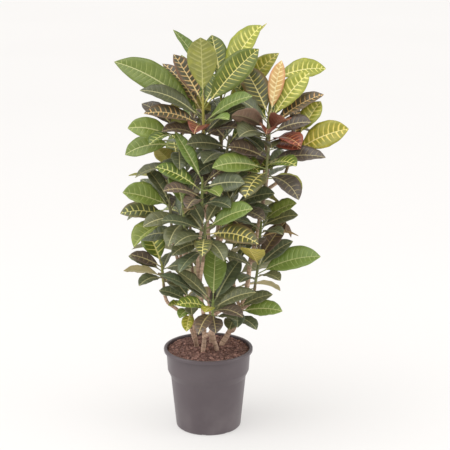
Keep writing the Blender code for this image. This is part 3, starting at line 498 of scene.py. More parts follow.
# ---------------------------------------------------------------- tones
# Leaf tones of the variety from young to old growth: ground, second
# ground, vein, margin, underside, vein half width as a share of the vein
# spacing, halo round the veins, margin tint
TONES = {
    "g": ("#526024", "#748430", "#CFC96C", "#62702C", "#9A9450", 0.068, 0.22, 0.10),
    "v": ("#505434", "#626638", "#D6C870", "#8E643A", "#928854", 0.082, 0.18, 0.30),
    "d": ("#545A40", "#666B48", "#82845E", "#58543E", "#8C8662", 0.046, 0.08, 0.15),
    "m": ("#544A40", "#62564A", "#94805C", "#604A3C", "#866E5C", 0.055, 0.10, 0.30),
    "p": ("#6A7936", "#7E8A40", "#9CA660", "#707D38", "#A09A62", 0.050, 0.12, 0.10),
    "y": ("#8C8E34", "#BEB448", "#ECDC7A", "#A09C3E", "#8E8A46", 0.096, 0.48, 0.20),
    "o": ("#504A36", "#625442", "#E0B070", "#975C3A", "#92805C", 0.085, 0.22, 0.35),
    "c": ("#C2A46A", "#D6C088", "#EEE2B0", "#B25644", "#B08E68", 0.110, 0.60, 1.00),
    "r": ("#623226", "#7A402E", "#CC845C", "#9C523C", "#8E5C48", 0.066, 0.24, 0.45),
}


def linear(code):
    """Linear colour of an sRGB hex code."""
    parts = [int(code[place:place + 2], 16) / 255 for place in (1, 3, 5)]
    return tuple(part / 12.92 if part <= 0.04045 else ((part + 0.055) / 1.055) ** 2.4
                 for part in parts)


# ============================================================ properties
class CrotonPotSettings(bpy.types.PropertyGroup):
    """Nursery pot."""

    colour: FloatVectorProperty(
        name="Plastic", description="Colour of the moulded plastic",
        subtype="COLOR", size=3, min=0.0, max=1.0, default=linear("#564C50"))
    dust: FloatVectorProperty(
        name="Dust", description="Colour of the dust and lime bloom on the plastic",
        subtype="COLOR", size=3, min=0.0, max=1.0, default=linear("#8A8282"))
    edge: FloatProperty(
        name="Edge Radius", description="Radius of the moulded edges",
        unit="LENGTH", default=0.0012, min=0.0002, max=0.003, precision=4)
    sides: IntProperty(
        name="Sides", description="Faces round the pot", default=144, min=48, max=256)


class CrotonSoilSettings(bpy.types.PropertyGroup):
    """Peat and bark crumbs in the pot."""

    peat: FloatVectorProperty(
        name="Peat", description="Colour of the moist peat",
        subtype="COLOR", size=3, min=0.0, max=1.0, default=linear("#7B5B53"))
    bark: FloatVectorProperty(
        name="Bark Crumbs", description="Colour of the bark crumbs",
        subtype="COLOR", size=3, min=0.0, max=1.0, default=linear("#AE8578"))
    crumbs: IntProperty(
        name="Crumbs", description="Number of crumbs on the soil", default=1500, min=0, max=4000)
    crumb_size: FloatProperty(
        name="Crumb Size", description="Radius of a middling crumb",
        unit="LENGTH", default=0.0022, min=0.0005, max=0.006, precision=4)


class CrotonStemSettings(bpy.types.PropertyGroup):
    """Woody stems."""

    bark: FloatVectorProperty(
        name="Bark", description="Colour of the bark",
        subtype="COLOR", size=3, min=0.0, max=1.0, default=linear("#B89D87"))
    scar: FloatVectorProperty(
        name="Leaf Scars", description="Colour of the rings and leaf scars",
        subtype="COLOR", size=3, min=0.0, max=1.0, default=linear("#7E6353"))
    ring_spacing: FloatProperty(
        name="Ring Spacing", description="Distance between the old leaf rings",
        unit="LENGTH", default=0.013, min=0.004, max=0.04, precision=4)
    sides: IntProperty(name="Sides", description="Faces round a stem", default=18, min=8, max=48)


class CrotonLeafSettings(bpy.types.PropertyGroup):
    """Leaves and green shoots; the colours of the tones are added below."""

    columns: IntProperty(
        name="Columns", description="Faces across one leaf, an even number",
        default=10, min=4, max=24, step=2)
    relief: FloatProperty(
        name="Relief", description="Height of the quilting between the side veins",
        unit="LENGTH", default=QUILT, min=0.0, max=0.001, precision=5)
    gloss: FloatProperty(
        name="Upper Roughness", description="Roughness of the waxy upper face",
        subtype="FACTOR", default=0.30, min=0.1, max=0.9)
    shoot: FloatVectorProperty(
        name="Green Stem", description="Colour of the young green stem and the stalks",
        subtype="COLOR", size=3, min=0.0, max=1.0, default=linear("#7C8450"))


TONE_NAMES = {"g": "Green", "v": "Yellow Veined", "d": "Dark", "m": "Maroon", "p": "Plain",
              "y": "Young", "o": "Orange Veined", "c": "Cream", "r": "Red"}
for letter, tone_row in TONES.items():
    for place, what in enumerate(("Ground", "Second", "Vein", "Margin", "Underside")):
        CrotonLeafSettings.__annotations__[letter + "_" + what.lower()] = FloatVectorProperty(
            name=TONE_NAMES[letter] + " " + what,
            description=what + " colour of the leaves of the " + TONE_NAMES[letter].lower() + " tone",
            subtype="COLOR", size=3, min=0.0, max=1.0, default=linear(tone_row[place]))


class CrotonStageSettings(bpy.types.PropertyGroup):
    """Floor, light and camera."""

    floor: FloatVectorProperty(
        name="Floor", description="Colour of the paper floor",
        subtype="COLOR", size=3, min=0.0, max=1.0, default=linear("#EAE8E6"))
    glow: FloatProperty(
        name="Floor Glow", description="Share of the floor's brightness that comes from light below it",
        subtype="FACTOR", default=0.5, min=0.0, max=1.0)
    radius: FloatProperty(
        name="Floor Radius", description="Radius of the floor",
        unit="LENGTH", default=24.0, min=2.0, max=60.0)
    lamp: FloatProperty(
        name="Soft Lamps", description="Power of the soft key lamp in watts", default=33.0, min=0.0)
    ceiling: FloatProperty(
        name="Ceiling Light", description="Strength of the even light from above", default=1.65, min=0.0)
    ceiling_angle: FloatProperty(
        name="Ceiling Angle", description="How wide the light from above spreads, in degrees",
        default=70.0, min=0.0, max=180.0)
    sky: FloatProperty(
        name="Room Light", description="Strength of the light from all round", default=0.74, min=0.0)
    lens: FloatProperty(
        name="Lens", description="Focal length in millimetres", default=119.28, min=20.0, max=300.0)


# =============================================================== tools
def add(tree, kind, inputs=None, output=0, **settings):
    """Add one node with its settings and links; returns one of its outputs."""
    node = tree.nodes.new(kind)
    for name, value in settings.items():
        setattr(node, name, value)
    for name, value in (inputs or {}).items():
        if isinstance(value, bpy.types.NodeSocket):
            tree.links.new(value, node.inputs[name])
        else:
            node.inputs[name].default_value = value
    return node.outputs[output] if node.outputs else node


def new_material(name):
    """An empty material with a Principled shader; returns material, tree, shader."""
    material = bpy.data.materials.new(name)
    material.use_nodes = True
    tree = material.node_tree
    return material, tree, tree.nodes["Principled BSDF"]


def maths(tree, operation, *values):
    """Result of one sum."""
    return add(tree, "ShaderNodeMath", dict(enumerate(values)), operation=operation)


def ramp(tree, value, low, high, start=0.0, end=1.0):
    """A soft step of a value from low to high."""
    return add(tree, "ShaderNodeMapRange",
               {"Value": value, "From Min": low, "From Max": high, "To Min": start, "To Max": end},
               interpolation_type="SMOOTHSTEP")


def blend_colours(tree, share, first, second):
    """Two colours mixed by a share."""
    return add(tree, "ShaderNodeMix", {0: share, 6: first, 7: second}, output=2,
               data_type="RGBA")


def grain(tree, millimetres, detail=2.0, roughness=0.5):
    """Even noise whose lumps are so many millimetres wide."""
    return add(tree, "ShaderNodeTexNoise",
               {"Vector": object_place(tree), "Scale": 1000.0 / (2.0 * millimetres), "Detail": detail,
                "Roughness": roughness})


def object_place(tree):
    """Position in the piece's own metres."""
    return add(tree, "ShaderNodeTexCoord", output=3)


def rgba(colour):
    """A colour with full alpha."""
    return (*colour, 1.0)


def mesh_object(name, points, faces, materials, slots=None, smooth=True):
    """A shown mesh object with its materials."""
    mesh = bpy.data.meshes.new(name)
    mesh.from_pydata([tuple(point) for point in points], [], faces)
    for material in materials:
        mesh.materials.append(material)
    if slots is not None:
        mesh.polygons.foreach_set("material_index", slots)
    mesh.polygons.foreach_set("use_smooth", [smooth] * len(mesh.polygons))
    mesh.update()
    thing = bpy.data.objects.new(name, mesh)
    bpy.context.scene.collection.objects.link(thing)
    return thing


def stand_in_for(thing, node):
    """The piece replaces a node of the frame and rests in its place."""
    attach(thing, "root")
    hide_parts(node)


def unite(thing, others, operation="UNION"):
    """Join or cut a piece with all the others and drop them."""
    group = bpy.data.collections.new(thing.name + "_others")
    bpy.context.scene.collection.children.link(group)
    for other in others:
        bpy.context.scene.collection.objects.unlink(other)
        group.objects.link(other)
    boolean = thing.modifiers.new("combine", "BOOLEAN")
    boolean.operation = operation
    boolean.operand_type = "COLLECTION"
    boolean.collection = group
    boolean.solver = "EXACT"
    graph = bpy.context.evaluated_depsgraph_get()
    result = bpy.data.meshes.new_from_object(thing.evaluated_get(graph))
    thing.modifiers.remove(boolean)
    spare = thing.data
    thing.data = result
    bpy.data.meshes.remove(spare)
    for other in others:
        bpy.data.objects.remove(other)
    bpy.data.collections.remove(group)
    return thing


def turned(section, sides):
    """Points and faces of a section turned about Z; its ends are on the axis."""
    points = [(0.0, 0.0, section[0][1])]
    for radius, height in section[1:-1]:
        for index in range(sides):
            angle = math.tau * index / sides
            points.append((radius * math.cos(angle), radius * math.sin(angle), height))
    points.append((0.0, 0.0, section[-1][1]))
    last = len(points) - 1
    rings = len(section) - 2
    faces = []
    for index in range(sides):
        after = (index + 1) % sides
        faces.append((0, 1 + after, 1 + index))
        for ring in range(rings - 1):
            low = 1 + ring * sides
            high = low + sides
            faces.append((low + index, low + after, high + after, high + index))
        top = 1 + (rings - 1) * sides
        faces.append((top + index, top + after, last))
    return points, faces


def smooth_course(course, steps):
    """Points on a curve through all course points."""
    knots = [Vector(point) for point in course]
    knots = [2 * knots[0] - knots[1]] + knots + [2 * knots[-1] - knots[-2]]
    curve = []
    for index in range(1, len(knots) - 2):
        before, start, end, after = knots[index - 1:index + 3]
        for step in range(steps):
            t = step / steps
            curve.append(0.5 * (2 * start + (end - before) * t
                                + (2 * before - 5 * start + 4 * end - after) * t ** 2
                                + (3 * start - before - 3 * end + after) * t ** 3))
    curve.append(knots[-2])
    return curve


def tube(curve, radii, sides, last_direction=None):
    """Points and faces of a closed round rod along a curve."""
    points = []
    across = Vector((1.0, 0.0, 0.0))
    for index, centre in enumerate(curve):
        before = curve[max(index - 1, 0)]
        after = curve[min(index + 1, len(curve) - 1)]
        along = (after - before).normalized()
        if index == len(curve) - 1 and last_direction is not None:
            along = last_direction.normalized()
        across = (across - across.dot(along) * along).normalized()
        other = along.cross(across)
        for side in range(sides):
            angle = math.tau * side / sides
            points.append(centre + radii[index] * (math.cos(angle) * across + math.sin(angle) * other))
    faces = [tuple(reversed(range(sides)))]
    for ring in range(len(curve) - 1):
        low = ring * sides
        for side in range(sides):
            after = (side + 1) % sides
            faces.append((low + side, low + after, low + sides + after, low + sides + side))
    faces.append(tuple(range(len(points) - sides, len(points))))
    return points, faces


def spread(start, end, count):
    """Evenly spaced values from start to end."""
    return [start + (end - start) * index / (count - 1) for index in range(count)]


# ================================================================ stems
def foot_of(shoot):
    """Foot and direction of a shoot's green stem."""
    foot = Vector(SHOOTS[shoot]["foot"])
    return foot, (Vector(SHOOTS[shoot]["tip"]) - foot).normalized()


def stem_rods(name, trunk_steps, branch_steps):
    """Curve, radii and end direction of a stem's trunk and of its branches."""
    stem = STEMS[name]
    foot, direction = foot_of(stem["ends"])
    ground = Vector(stem["course"][0])
    root = Vector((ground.x, ground.y, STEM_ROOT_Z))
    course = smooth_course(stem["course"] + (tuple(foot),), trunk_steps)
    trunk = [root] + course
    radii = [stem["radius"]] + spread(stem["radius"], SHOOT_RADIUS, len(course))
    rods = [(trunk, radii, direction)]
    for start, way, shoot in stem["branches"]:
        foot, direction = foot_of(shoot)
        points = (stem["course"][start],) + way + (tuple(foot),)
        curve = smooth_course(points, branch_steps)
        rods.append((curve, spread(BRANCH_RADIUS, SHOOT_RADIUS, len(curve)), direction))
    return rods


# =============================================================== leaves
def direction_of(heading, rise):
    """Unit vector from a heading and a rise in degrees."""
    turn = math.radians(heading)
    lift = math.radians(rise)
    return Vector((math.cos(turn) * math.cos(lift), math.sin(turn) * math.cos(lift), math.sin(lift)))


def blade_shape(s):
    """Half width of the blade as a share of the widest, s from base to tip."""
    widest = BASE_POWER / (BASE_POWER + TIP_POWER)
    full = widest ** BASE_POWER * (1 - widest) ** TIP_POWER
    return s ** BASE_POWER * (1 - s) ** TIP_POWER / full


def midrib(leaf, places):
    """Frames (point, along, across, up) on the midrib.

    Places run from -1 at the stem over 0 at the blade's base to 1 at its tip.
    The stalk is straight and turns the blade to its tilt; the blade bends down.
    """
    bend = math.radians(leaf["droop"])
    stalk = leaf["stalk"]
    flat = [(stalk, 0.0)]
    for index in range(CURVE_STEPS):
        angle = -bend * ((index + 0.5) / CURVE_STEPS) ** BEND_POWER
        x, z = flat[-1]
        step = (1.0 - stalk) / CURVE_STEPS
        flat.append((x + step * math.cos(angle), z + step * math.sin(angle)))
    chord = leaf["tip"] - leaf["base"]
    scale = chord.length / math.hypot(*flat[-1])
    lean = math.asin(chord.z / chord.length) - math.atan2(flat[-1][1], flat[-1][0])
    out = Vector((chord.x, chord.y, 0.0)).normalized()
    level = Vector((-out.y, out.x, 0.0))
    frames = []
    for place in places:
        if place <= 0.0:
            x, z, angle = stalk * (1.0 + place), 0.0, lean
        else:
            exact = place * CURVE_STEPS
            index = min(int(exact), CURVE_STEPS - 1)
            part = exact - index
            x = flat[index][0] * (1 - part) + flat[index + 1][0] * part
            z = flat[index][1] * (1 - part) + flat[index + 1][1] * part
            angle = lean - bend * place ** BEND_POWER
        point = (leaf["base"] + scale * (x * math.cos(lean) - z * math.sin(lean)) * out
                 + Vector((0.0, 0.0, scale * (x * math.sin(lean) + z * math.cos(lean)))))
        along = math.cos(angle) * out + Vector((0.0, 0.0, math.sin(angle)))
        up = -math.sin(angle) * out + Vector((0.0, 0.0, math.cos(angle)))
        roll = math.radians(leaf["roll"]) * min(1.0 + place, 1.0)
        frames.append((point, along, math.cos(roll) * level - math.sin(roll) * up,
                       math.cos(roll) * up + math.sin(roll) * level))
    return frames


def margin_lift(leaf, s, side):
    """Height of the waved margin over the flat fold."""
    return leaf["wave"] * math.sin(math.tau * (leaf["waves"] * s + leaf["phase"] + SIDE_PHASE * side))


def leaf_mesh(leaf, extra=0.0, start=-1.0):
    """Points and triangles of a closed thin leaf; both faces split alike.

    Every ring runs left, middle, right over the top and back underneath.
    The stalk is three-sided and the blade ends in a point.  Extra is added
    all round for the test that keeps leaves apart.
    """
    length = (leaf["tip"] - leaf["base"]).length
    places = (start,) + (LONG_PLACES if length > LONG_LEAF else SHORT_PLACES)
    fold = math.radians(leaf["fold"])
    points = []
    rings = []
    for place, (point, along, across, up) in zip(places, midrib(leaf, places)):
        s = max(place, 0.0)
        count = len(points)
        half = max(0.5 * leaf["width"] * blade_shape(s), 0.5 * STALK_WIDTH) + extra
        depth = 0.5 * (STALK_DEPTH if s == 0.0 else BLADE_THICKNESS) + extra
        edges = []
        for side in (1, -1):
            lift = half * math.sin(fold) + margin_lift(leaf, s, side) if s > 0.0 else 0.0
            edges.append(point + side * half * math.cos(fold) * across + lift * up)
        if s == 1.0:
            end = point + extra * along
            points += [end + depth * up, end - depth * up]
            rings.append([count] * 3 + [count + 1] * 3)
        elif s == 0.0:
            points += [edges[0] + depth * up, edges[1] + depth * up, point - depth * up]
            rings.append([count, count, count + 1, count + 1, count + 2, count + 2])
        else:
            points += [spot + depth * up for spot in (edges[0], point, edges[1])]
            points += [spot - depth * up for spot in (edges[1], point, edges[0])]
            rings.append([count + index for index in range(6)])
    faces = [(0, 1, 2)]
    for near, far in zip(rings, rings[1:]):
        for a, b in ((0, 1), (2, 1), (3, 4), (5, 4), (2, 3), (5, 0)):
            for face in ((near[a], near[b], far[b]), (near[a], far[b], far[a])):
                if len(set(face)) == 3:
                    faces.append(face)
    return points, faces


def set_leaf(crown, row, draw):
    """A leaf from one row of the shoot table."""
    heading, rise, reach, width, droop, tilt, fold, tone = row
    front = -1.0 if math.cos(math.radians(heading)) > 0 else 1.0
    return {"heading": heading, "rise": rise, "reach": reach / 1000, "width": width / 1000,
            "droop": droop, "roll": front * tilt, "fold": fold, "tone": tone, "crown": crown,
            "stalk": draw.uniform(0.13, 0.19), "wave": draw.uniform(0.0010, 0.0018),
            "waves": draw.uniform(1.6, 2.4), "phase": draw.random()}


def spiral_row(index, shoot, draw):
    """A row for a leaf placed by the spiral, the first ones uppermost.

    The blade leans to the outside of the plant, where its light comes from.
    """
    count, start, size, tones = shoot["spiral"]
    share = (index + 0.5) / count
    heading = (start + GOLDEN_ANGLE * index) % 360
    reach = 1000 * size * draw.uniform(*FILL_REACH) * (0.90 + 0.20 * share)
    outside = math.atan2(shoot["tip"][1] - PLANT_AXIS[1], shoot["tip"][0] - PLANT_AXIS[0])
    lean = SPIRAL_LEAN * math.sin(outside - math.radians(heading))
    front = -1.0 if math.cos(math.radians(heading)) > 0 else 1.0
    return (heading, 50 - 84 * share + draw.uniform(-7, 7), reach,
            reach * FILL_WIDTH_SHARE * draw.uniform(0.92, 1.1), 14 + 40 * share,
            front * lean + draw.uniform(-12, 12), draw.uniform(11, 18), draw.choice(tones))


def place_leaf(leaf, name, taken, fixed):
    """Bend a leaf clear of all there is; returns it, or None if no room is left."""
    for turn, lift, roll, size in ATTEMPTS:
        trial = dict(leaf)
        trial["roll"] = leaf["roll"] + roll
        trial["width"] = leaf["width"] * size
        trial["tip"] = leaf["crown"] + leaf["reach"] * size * direction_of(
            leaf["heading"] + turn, leaf["rise"] + lift)
        whole = BVHTree.FromPolygons(*leaf_mesh(trial, LEAF_CLEARANCE))
        blade = BVHTree.FromPolygons(*leaf_mesh(trial, LEAF_CLEARANCE, -STALK_FREE))
        if any((blade if owner == name else whole).overlap(tree) for owner, tree in fixed):
            continue
        middle = (trial["base"] + trial["tip"]) / 2
        radius = (trial["tip"] - trial["base"]).length / 2 + trial["width"] / 2
        near = [other for other in taken if (other["middle"] - middle).length < other["radius"] + radius]
        if any(blade.overlap(other["blade"]) if other["owner"] == name
               else whole.overlap(other["whole"]) for other in near):
            continue
        trial.update(owner=name, whole=whole, blade=blade, middle=middle, radius=radius)
        return trial
    return None


def leaves_of(name, seed):
    """Set leaves and spiral leaves of a shoot, the steepest nearest its tip."""
    shoot = SHOOTS[name]
    draw = random.Random(seed)
    foot, tip = Vector(shoot["foot"]), Vector(shoot["tip"])
    given = sorted(shoot["leaves"], key=lambda row: -row[1])
    more = [spiral_row(index, shoot, draw) for index in range(shoot["spiral"][0])]
    made = []
    for rows, low in ((given, GIVEN_LOW), (more, SPIRAL_LOW)):
        leaves = []
        for index, row in enumerate(rows):
            share = LEAF_TOP - (LEAF_TOP - low) * (index + 0.5 * (rows is more)) / max(len(rows), 2)
            base = foot.lerp(tip, share)
            leaf = set_leaf(tip if rows is given else base, row, draw)
            leaf["base"] = base
            leaves.append(leaf)
        made.append(leaves)
    return made


def grow_leaves(fixed):
    """All leaves of the plant, set leaves of every shoot before spiral ones."""
    made = {name: leaves_of(name, LEAF_SEED + index) for index, name in enumerate(SHOOTS)}
    taken = []
    for group in (0, 1):
        for name in SHOOTS:
            for leaf in made[name][group]:
                found = place_leaf(leaf, name, taken, fixed)
                if found:
                    taken.append(found)
    return taken


def shoot_rod(name):
    """Points and faces of a shoot's green stem with its bud."""
    foot, direction = foot_of(name)
    tip = Vector(SHOOTS[name]["tip"])
    curve = [foot + SHOOT_GAP * direction, (foot + tip) / 2, tip, tip + SHOOT_BUD * direction]
    radii = [SHOOT_RADIUS, 0.5 * (SHOOT_RADIUS + SHOOT_TIP_RADIUS), SHOOT_TIP_RADIUS, 0.0008]
    return tube(curve, radii, SHOOT_SIDES)


# ================================================================= pot
def polypropylene(settings):
    """Injection-moulded polypropylene, faded: satin with a fine moulded grain."""
    material, tree, shader = new_material("moulded_polypropylene")
    patches = grain(tree, 45.0, 3.0, 0.55)
    specks = grain(tree, 1.6, 2.0, 0.6)
    height = add(tree, "ShaderNodeSeparateXYZ", {"Vector": object_place(tree)}, output=2)
    # handling and watering leave a pale bloom, most of it low on the wall
    low = ramp(tree, height, 0.0, 0.11, 0.32, 0.10)
    bloom = maths(tree, "MULTIPLY", low, ramp(tree, patches, 0.35, 0.75))
    colour = blend_colours(tree, bloom, rgba(settings.colour), rgba(settings.dust))
    colour = blend_colours(tree, ramp(tree, specks, 0.66, 0.80, 0.0, 0.10), colour, rgba(settings.dust))
    tree.links.new(colour, shader.inputs["Base Color"])
    tree.links.new(ramp(tree, patches, 0.2, 0.8, 0.32, 0.46), shader.inputs["Roughness"])
    fine = grain(tree, 0.8, 2.0, 0.5)
    bump = add(tree, "ShaderNodeBump", {"Height": fine, "Strength": 0.12, "Distance": 0.0004})
    tree.links.new(bump, shader.inputs["Normal"])
    shader.inputs["IOR"].default_value = 1.49
    return material


def rounded(section, radius, steps):
    """A section with every inner corner turned into a small arc."""
    out = [section[0]]
    for before, corner, after in zip(section, section[1:], section[2:]):
        here = Vector(corner)
        arms = [Vector(other) - here for other in (before, after)]
        reach = min([radius] + [0.42 * arm.length for arm in arms])
        start, end = (here + reach * arm.normalized() for arm in arms)
        for step in range(steps + 1):
            t = step / steps
            out.append(tuple((1 - t) ** 2 * start + 2 * t * (1 - t) * here + t * t * end))
    out.append(section[-1])
    return out


def make_pot(settings):
    """Thin-walled pot with a hollow lip, a stacking step and drain slots."""
    section = rounded(POT_SECTION, settings.edge, 3)
    pot = mesh_object("nursery_pot", *turned(section, settings.sides), [polypropylene(settings)])
    cutters = []
    for index in range(DRAIN_HOLES):
        turn = Matrix.Rotation(math.tau * (index + DRAIN_TURN) / DRAIN_HOLES, 4, "Z")
        hole = [Vector((DRAIN_HOLE_REACH, 0.0, -POT_FLOOR)), Vector((DRAIN_HOLE_REACH, 0.0, 2 * POT_FLOOR))]
        points, faces = tube(hole, [DRAIN_HOLE_RADIUS] * 2, 4 * CUT_SIDES)
        cutters.append(mesh_object("hole", [turn @ point for point in points], faces, []))
        half = DRAIN_SLOT_WIDTH / 2
        corners = [Vector((x, y, z)) for x in (DRAIN_HOLE_REACH, POT_RIM_RADIUS)
                   for y in (-half, half) for z in (-DRAIN_SLOT_DEPTH, DRAIN_SLOT_DEPTH)]
        box = ((0, 1, 3, 2), (4, 6, 7, 5), (0, 4, 5, 1), (2, 3, 7, 6), (0, 2, 6, 4), (1, 5, 7, 3))
        cutters.append(mesh_object("slot", [turn @ corner for corner in corners], box, []))
    unite(pot, cutters, "DIFFERENCE")
    pot.data.set_sharp_from_angle(angle=math.radians(38))
    stand_in_for(pot, "pot")


# ================================================================ soil
def peat(settings):
    """Moist peat: nearly black-brown fibre crumbs with a rough, dull surface."""
    material, tree, shader = new_material("moist_peat")
    lumps = grain(tree, 5.0, 4.0, 0.65)
    fibres = grain(tree, 1.1, 3.0, 0.7)
    colour = blend_colours(tree, ramp(tree, lumps, 0.38, 0.66), rgba(settings.peat), rgba(settings.bark))
    colour = blend_colours(tree, ramp(tree, fibres, 0.30, 0.70, 0.75, 0.0), colour,
                           rgba(tuple(0.25 * part for part in settings.peat)))
    tree.links.new(colour, shader.inputs["Base Color"])
    tree.links.new(ramp(tree, lumps, 0.3, 0.7, 0.98, 0.78), shader.inputs["Roughness"])
    bump = add(tree, "ShaderNodeBump", {"Height": fibres, "Strength": 0.7, "Distance": 0.0012})
    tree.links.new(bump, shader.inputs["Normal"])
    return material


def bark_crumb(settings):
    """Composted bark: red-brown chips, lighter on their broken faces."""
    material, tree, shader = new_material("composted_bark")
    shade = grain(tree, 7.0, 2.0, 0.5)
    streaks = grain(tree, 0.9, 3.0, 0.6)
    colour = blend_colours(tree, ramp(tree, shade, 0.35, 0.68), rgba(settings.peat), rgba(settings.bark))
    colour = blend_colours(tree, ramp(tree, streaks, 0.55, 0.80, 0.0, 0.5), colour,
                           rgba(tuple(min(1.0, 1.9 * part) for part in settings.bark)))
    tree.links.new(colour, shader.inputs["Base Color"])
    shader.inputs["Roughness"].default_value = 0.86
    bump = add(tree, "ShaderNodeBump", {"Height": streaks, "Strength": 0.6, "Distance": 0.0008})
    tree.links.new(bump, shader.inputs["Normal"])
    return material


SOIL_RINGS_FINE = 46
SOIL_SIDES_FINE = 168
CRUMB_SEED = 11
# how much higher the peat lies against the back of the pot
SOIL_HEAP = 0.0045
LUMP_HEIGHT = 0.0030
LUMPS_PER_METRE = 95
# crumbs: shares of flat chips and of bark, spread of the sizes, how much
# larger a chip is, the largest radius and how close to the wall they lie
CHIP_SHARE = 0.16
BARK_SHARE = 0.18
CRUMB_SPREAD = 0.38
CHIP_SIZE = 1.6
CRUMB_LIMIT = 0.0062
CRUMB_REACH = 0.985
FINE_CRUMB = 0.0024


def soil_height(x, y, edge):
    """Height of the soil's surface over its flat top."""
    radius = min(math.hypot(x, y) / edge, 1.0)
    lumps = noise.fractal(Vector((x, y, 0.3)) * LUMPS_PER_METRE, 1.0, 2.1, 4)
    heap = SOIL_HEAP * smooth_share(y / edge, -0.2, 0.9)
    mound = SOIL_MOUND * (1 - radius ** 2)
    return SOIL_TOP + heap + mound + LUMP_HEIGHT * lumps * (1 - 0.5 * radius ** 8)


def crumb(draw, centre, size, flat):
    """Points and faces of one crumb: a lumpy ball, or a flat angular chip."""
    work = bmesh.new()
    bmesh.ops.create_icosphere(work, subdivisions=1 if size < FINE_CRUMB else 2, radius=1.0)
    turn = Matrix.Rotation(draw.uniform(0, math.tau), 3, "Z")
    turn = turn @ Matrix.Rotation(draw.uniform(-0.6, 0.6), 3, "X")
    stretch = Vector((draw.uniform(0.8, 1.6), draw.uniform(0.7, 1.1), flat))
    shift = Vector((draw.uniform(0, 50), draw.uniform(0, 50), 0.0))
    points = []
    for vertex in work.verts:
        lump = 1.0 + 0.38 * noise.noise(vertex.co * 1.7 + shift)
        local = Vector([a * b for a, b in zip(vertex.co * lump, stretch)])
        points.append(centre + size * (turn @ local))
    faces = [tuple(vertex.index for vertex in face.verts) for face in work.faces]
    work.free()
    return points, faces


def make_soil(settings):
    """Peat that fills the pot, with a crumbly top and bark chips on it."""
    inner = [(radius - SOIL_GAP, height + SOIL_GAP) for radius, height in POT_SECTION[-2:-7:-1]]
    share = (SOIL_TOP - inner[-2][1]) / (inner[-1][1] - inner[-2][1])
    edge = inner[-2][0] + share * (inner[-1][0] - inner[-2][0])
    section = [(0.0, inner[0][1])] + inner[:-1]
    section += [(edge * (1 - ring / SOIL_RINGS_FINE), SOIL_TOP) for ring in range(SOIL_RINGS_FINE)]
    section.append((0.0, SOIL_TOP))
    points, faces = turned(section, SOIL_SIDES_FINE)
    points = [(x, y, soil_height(x, y, edge) if z >= SOIL_TOP else z) for x, y, z in points]
    slots = [0] * len(faces)
    draw = random.Random(CRUMB_SEED)
    stems = [(Vector(stem["course"][0]).to_2d(), stem["radius"]) for stem in STEMS.values()]
    for _ in range(settings.crumbs):
        radius = edge * math.sqrt(draw.random()) * CRUMB_REACH
        angle = draw.uniform(0, math.tau)
        x, y = radius * math.cos(angle), radius * math.sin(angle)
        chip = draw.random() < CHIP_SHARE
        size = settings.crumb_size * draw.lognormvariate(0.0, CRUMB_SPREAD) * (CHIP_SIZE if chip else 1.0)
        size = min(size, CRUMB_LIMIT, edge - radius + 0.0006)
        if any((Vector((x, y)) - spot).length < width + 0.7 * size for spot, width in stems):
            continue
        centre = Vector((x, y, soil_height(x, y, edge) + 0.25 * size))
        flat = draw.uniform(0.30, 0.5) if chip else draw.uniform(0.6, 0.95)
        more, patches = crumb(draw, centre, size, flat)
        first = len(points)
        points += more
        faces += [tuple(first + index for index in patch) for patch in patches]
        slots += [1 if chip or draw.random() < BARK_SHARE else 0] * len(patches)
    materials = [peat(settings), bark_crumb(settings)]
    soil = mesh_object("potting_soil", points, faces, materials, slots)
    stand_in_for(soil, "soil")


# =============================================================== stems
def croton_bark(settings):
    """Croton bark: thin, pale brown with a pink cast, dull, dotted with lenticels."""
    material, tree, shader = new_material("croton_bark")
    patches = grain(tree, 11.0, 3.0, 0.55)
    fine = grain(tree, 1.6, 3.0, 0.6)
    position = object_place(tree)
    # fissures run along the stem, so they are stretched four times upwards
    tall = add(tree, "ShaderNodeMapping", {"Vector": position, "Scale": (1.0, 1.0, 0.25)})
    fissures = add(tree, "ShaderNodeTexNoise", {"Vector": tall, "Scale": 420.0, "Detail": 3.0})
    dots = add(tree, "ShaderNodeTexVoronoi", {"Vector": position, "Scale": 260.0})
    wear = add(tree, "ShaderNodeAttribute", output="Fac", attribute_name="ring")
    pale = rgba(tuple(min(1.0, 1.45 * part) for part in settings.bark))
    colour = blend_colours(tree, ramp(tree, patches, 0.35, 0.70), rgba(settings.bark), pale)
    colour = blend_colours(tree, ramp(tree, fissures, 0.56, 0.72, 0.0, 0.55), colour, rgba(settings.scar))
    colour = blend_colours(tree, ramp(tree, dots, 0.10, 0.20, 0.45, 0.0), colour, pale)
    colour = blend_colours(tree, maths(tree, "MULTIPLY", wear, 0.75), colour, rgba(settings.scar))
    tree.links.new(colour, shader.inputs["Base Color"])
    shader.inputs["Roughness"].default_value = 0.82
    height = maths(tree, "SUBTRACT", fine, maths(tree, "MULTIPLY", fissures, 0.8))
    bump = add(tree, "ShaderNodeBump", {"Height": height, "Strength": 0.6, "Distance": 0.0009})
    tree.links.new(bump, shader.inputs["Normal"])
    return material


TRUNK_STEPS_FINE = 14
BRANCH_STEPS_FINE = 12
# old leaf rings: height, width as a share of their spacing and how far they wander
RING_HEIGHT = 0.00055
RING_WIDTH = 0.085
RING_WANDER = 0.22
# swelling where a branch leaves its stem, and how far it runs
COLLAR = 0.42
COLLAR_LENGTH = 0.008
ROD_STEP = 0.0022
BARK_LUMPS = 0.07


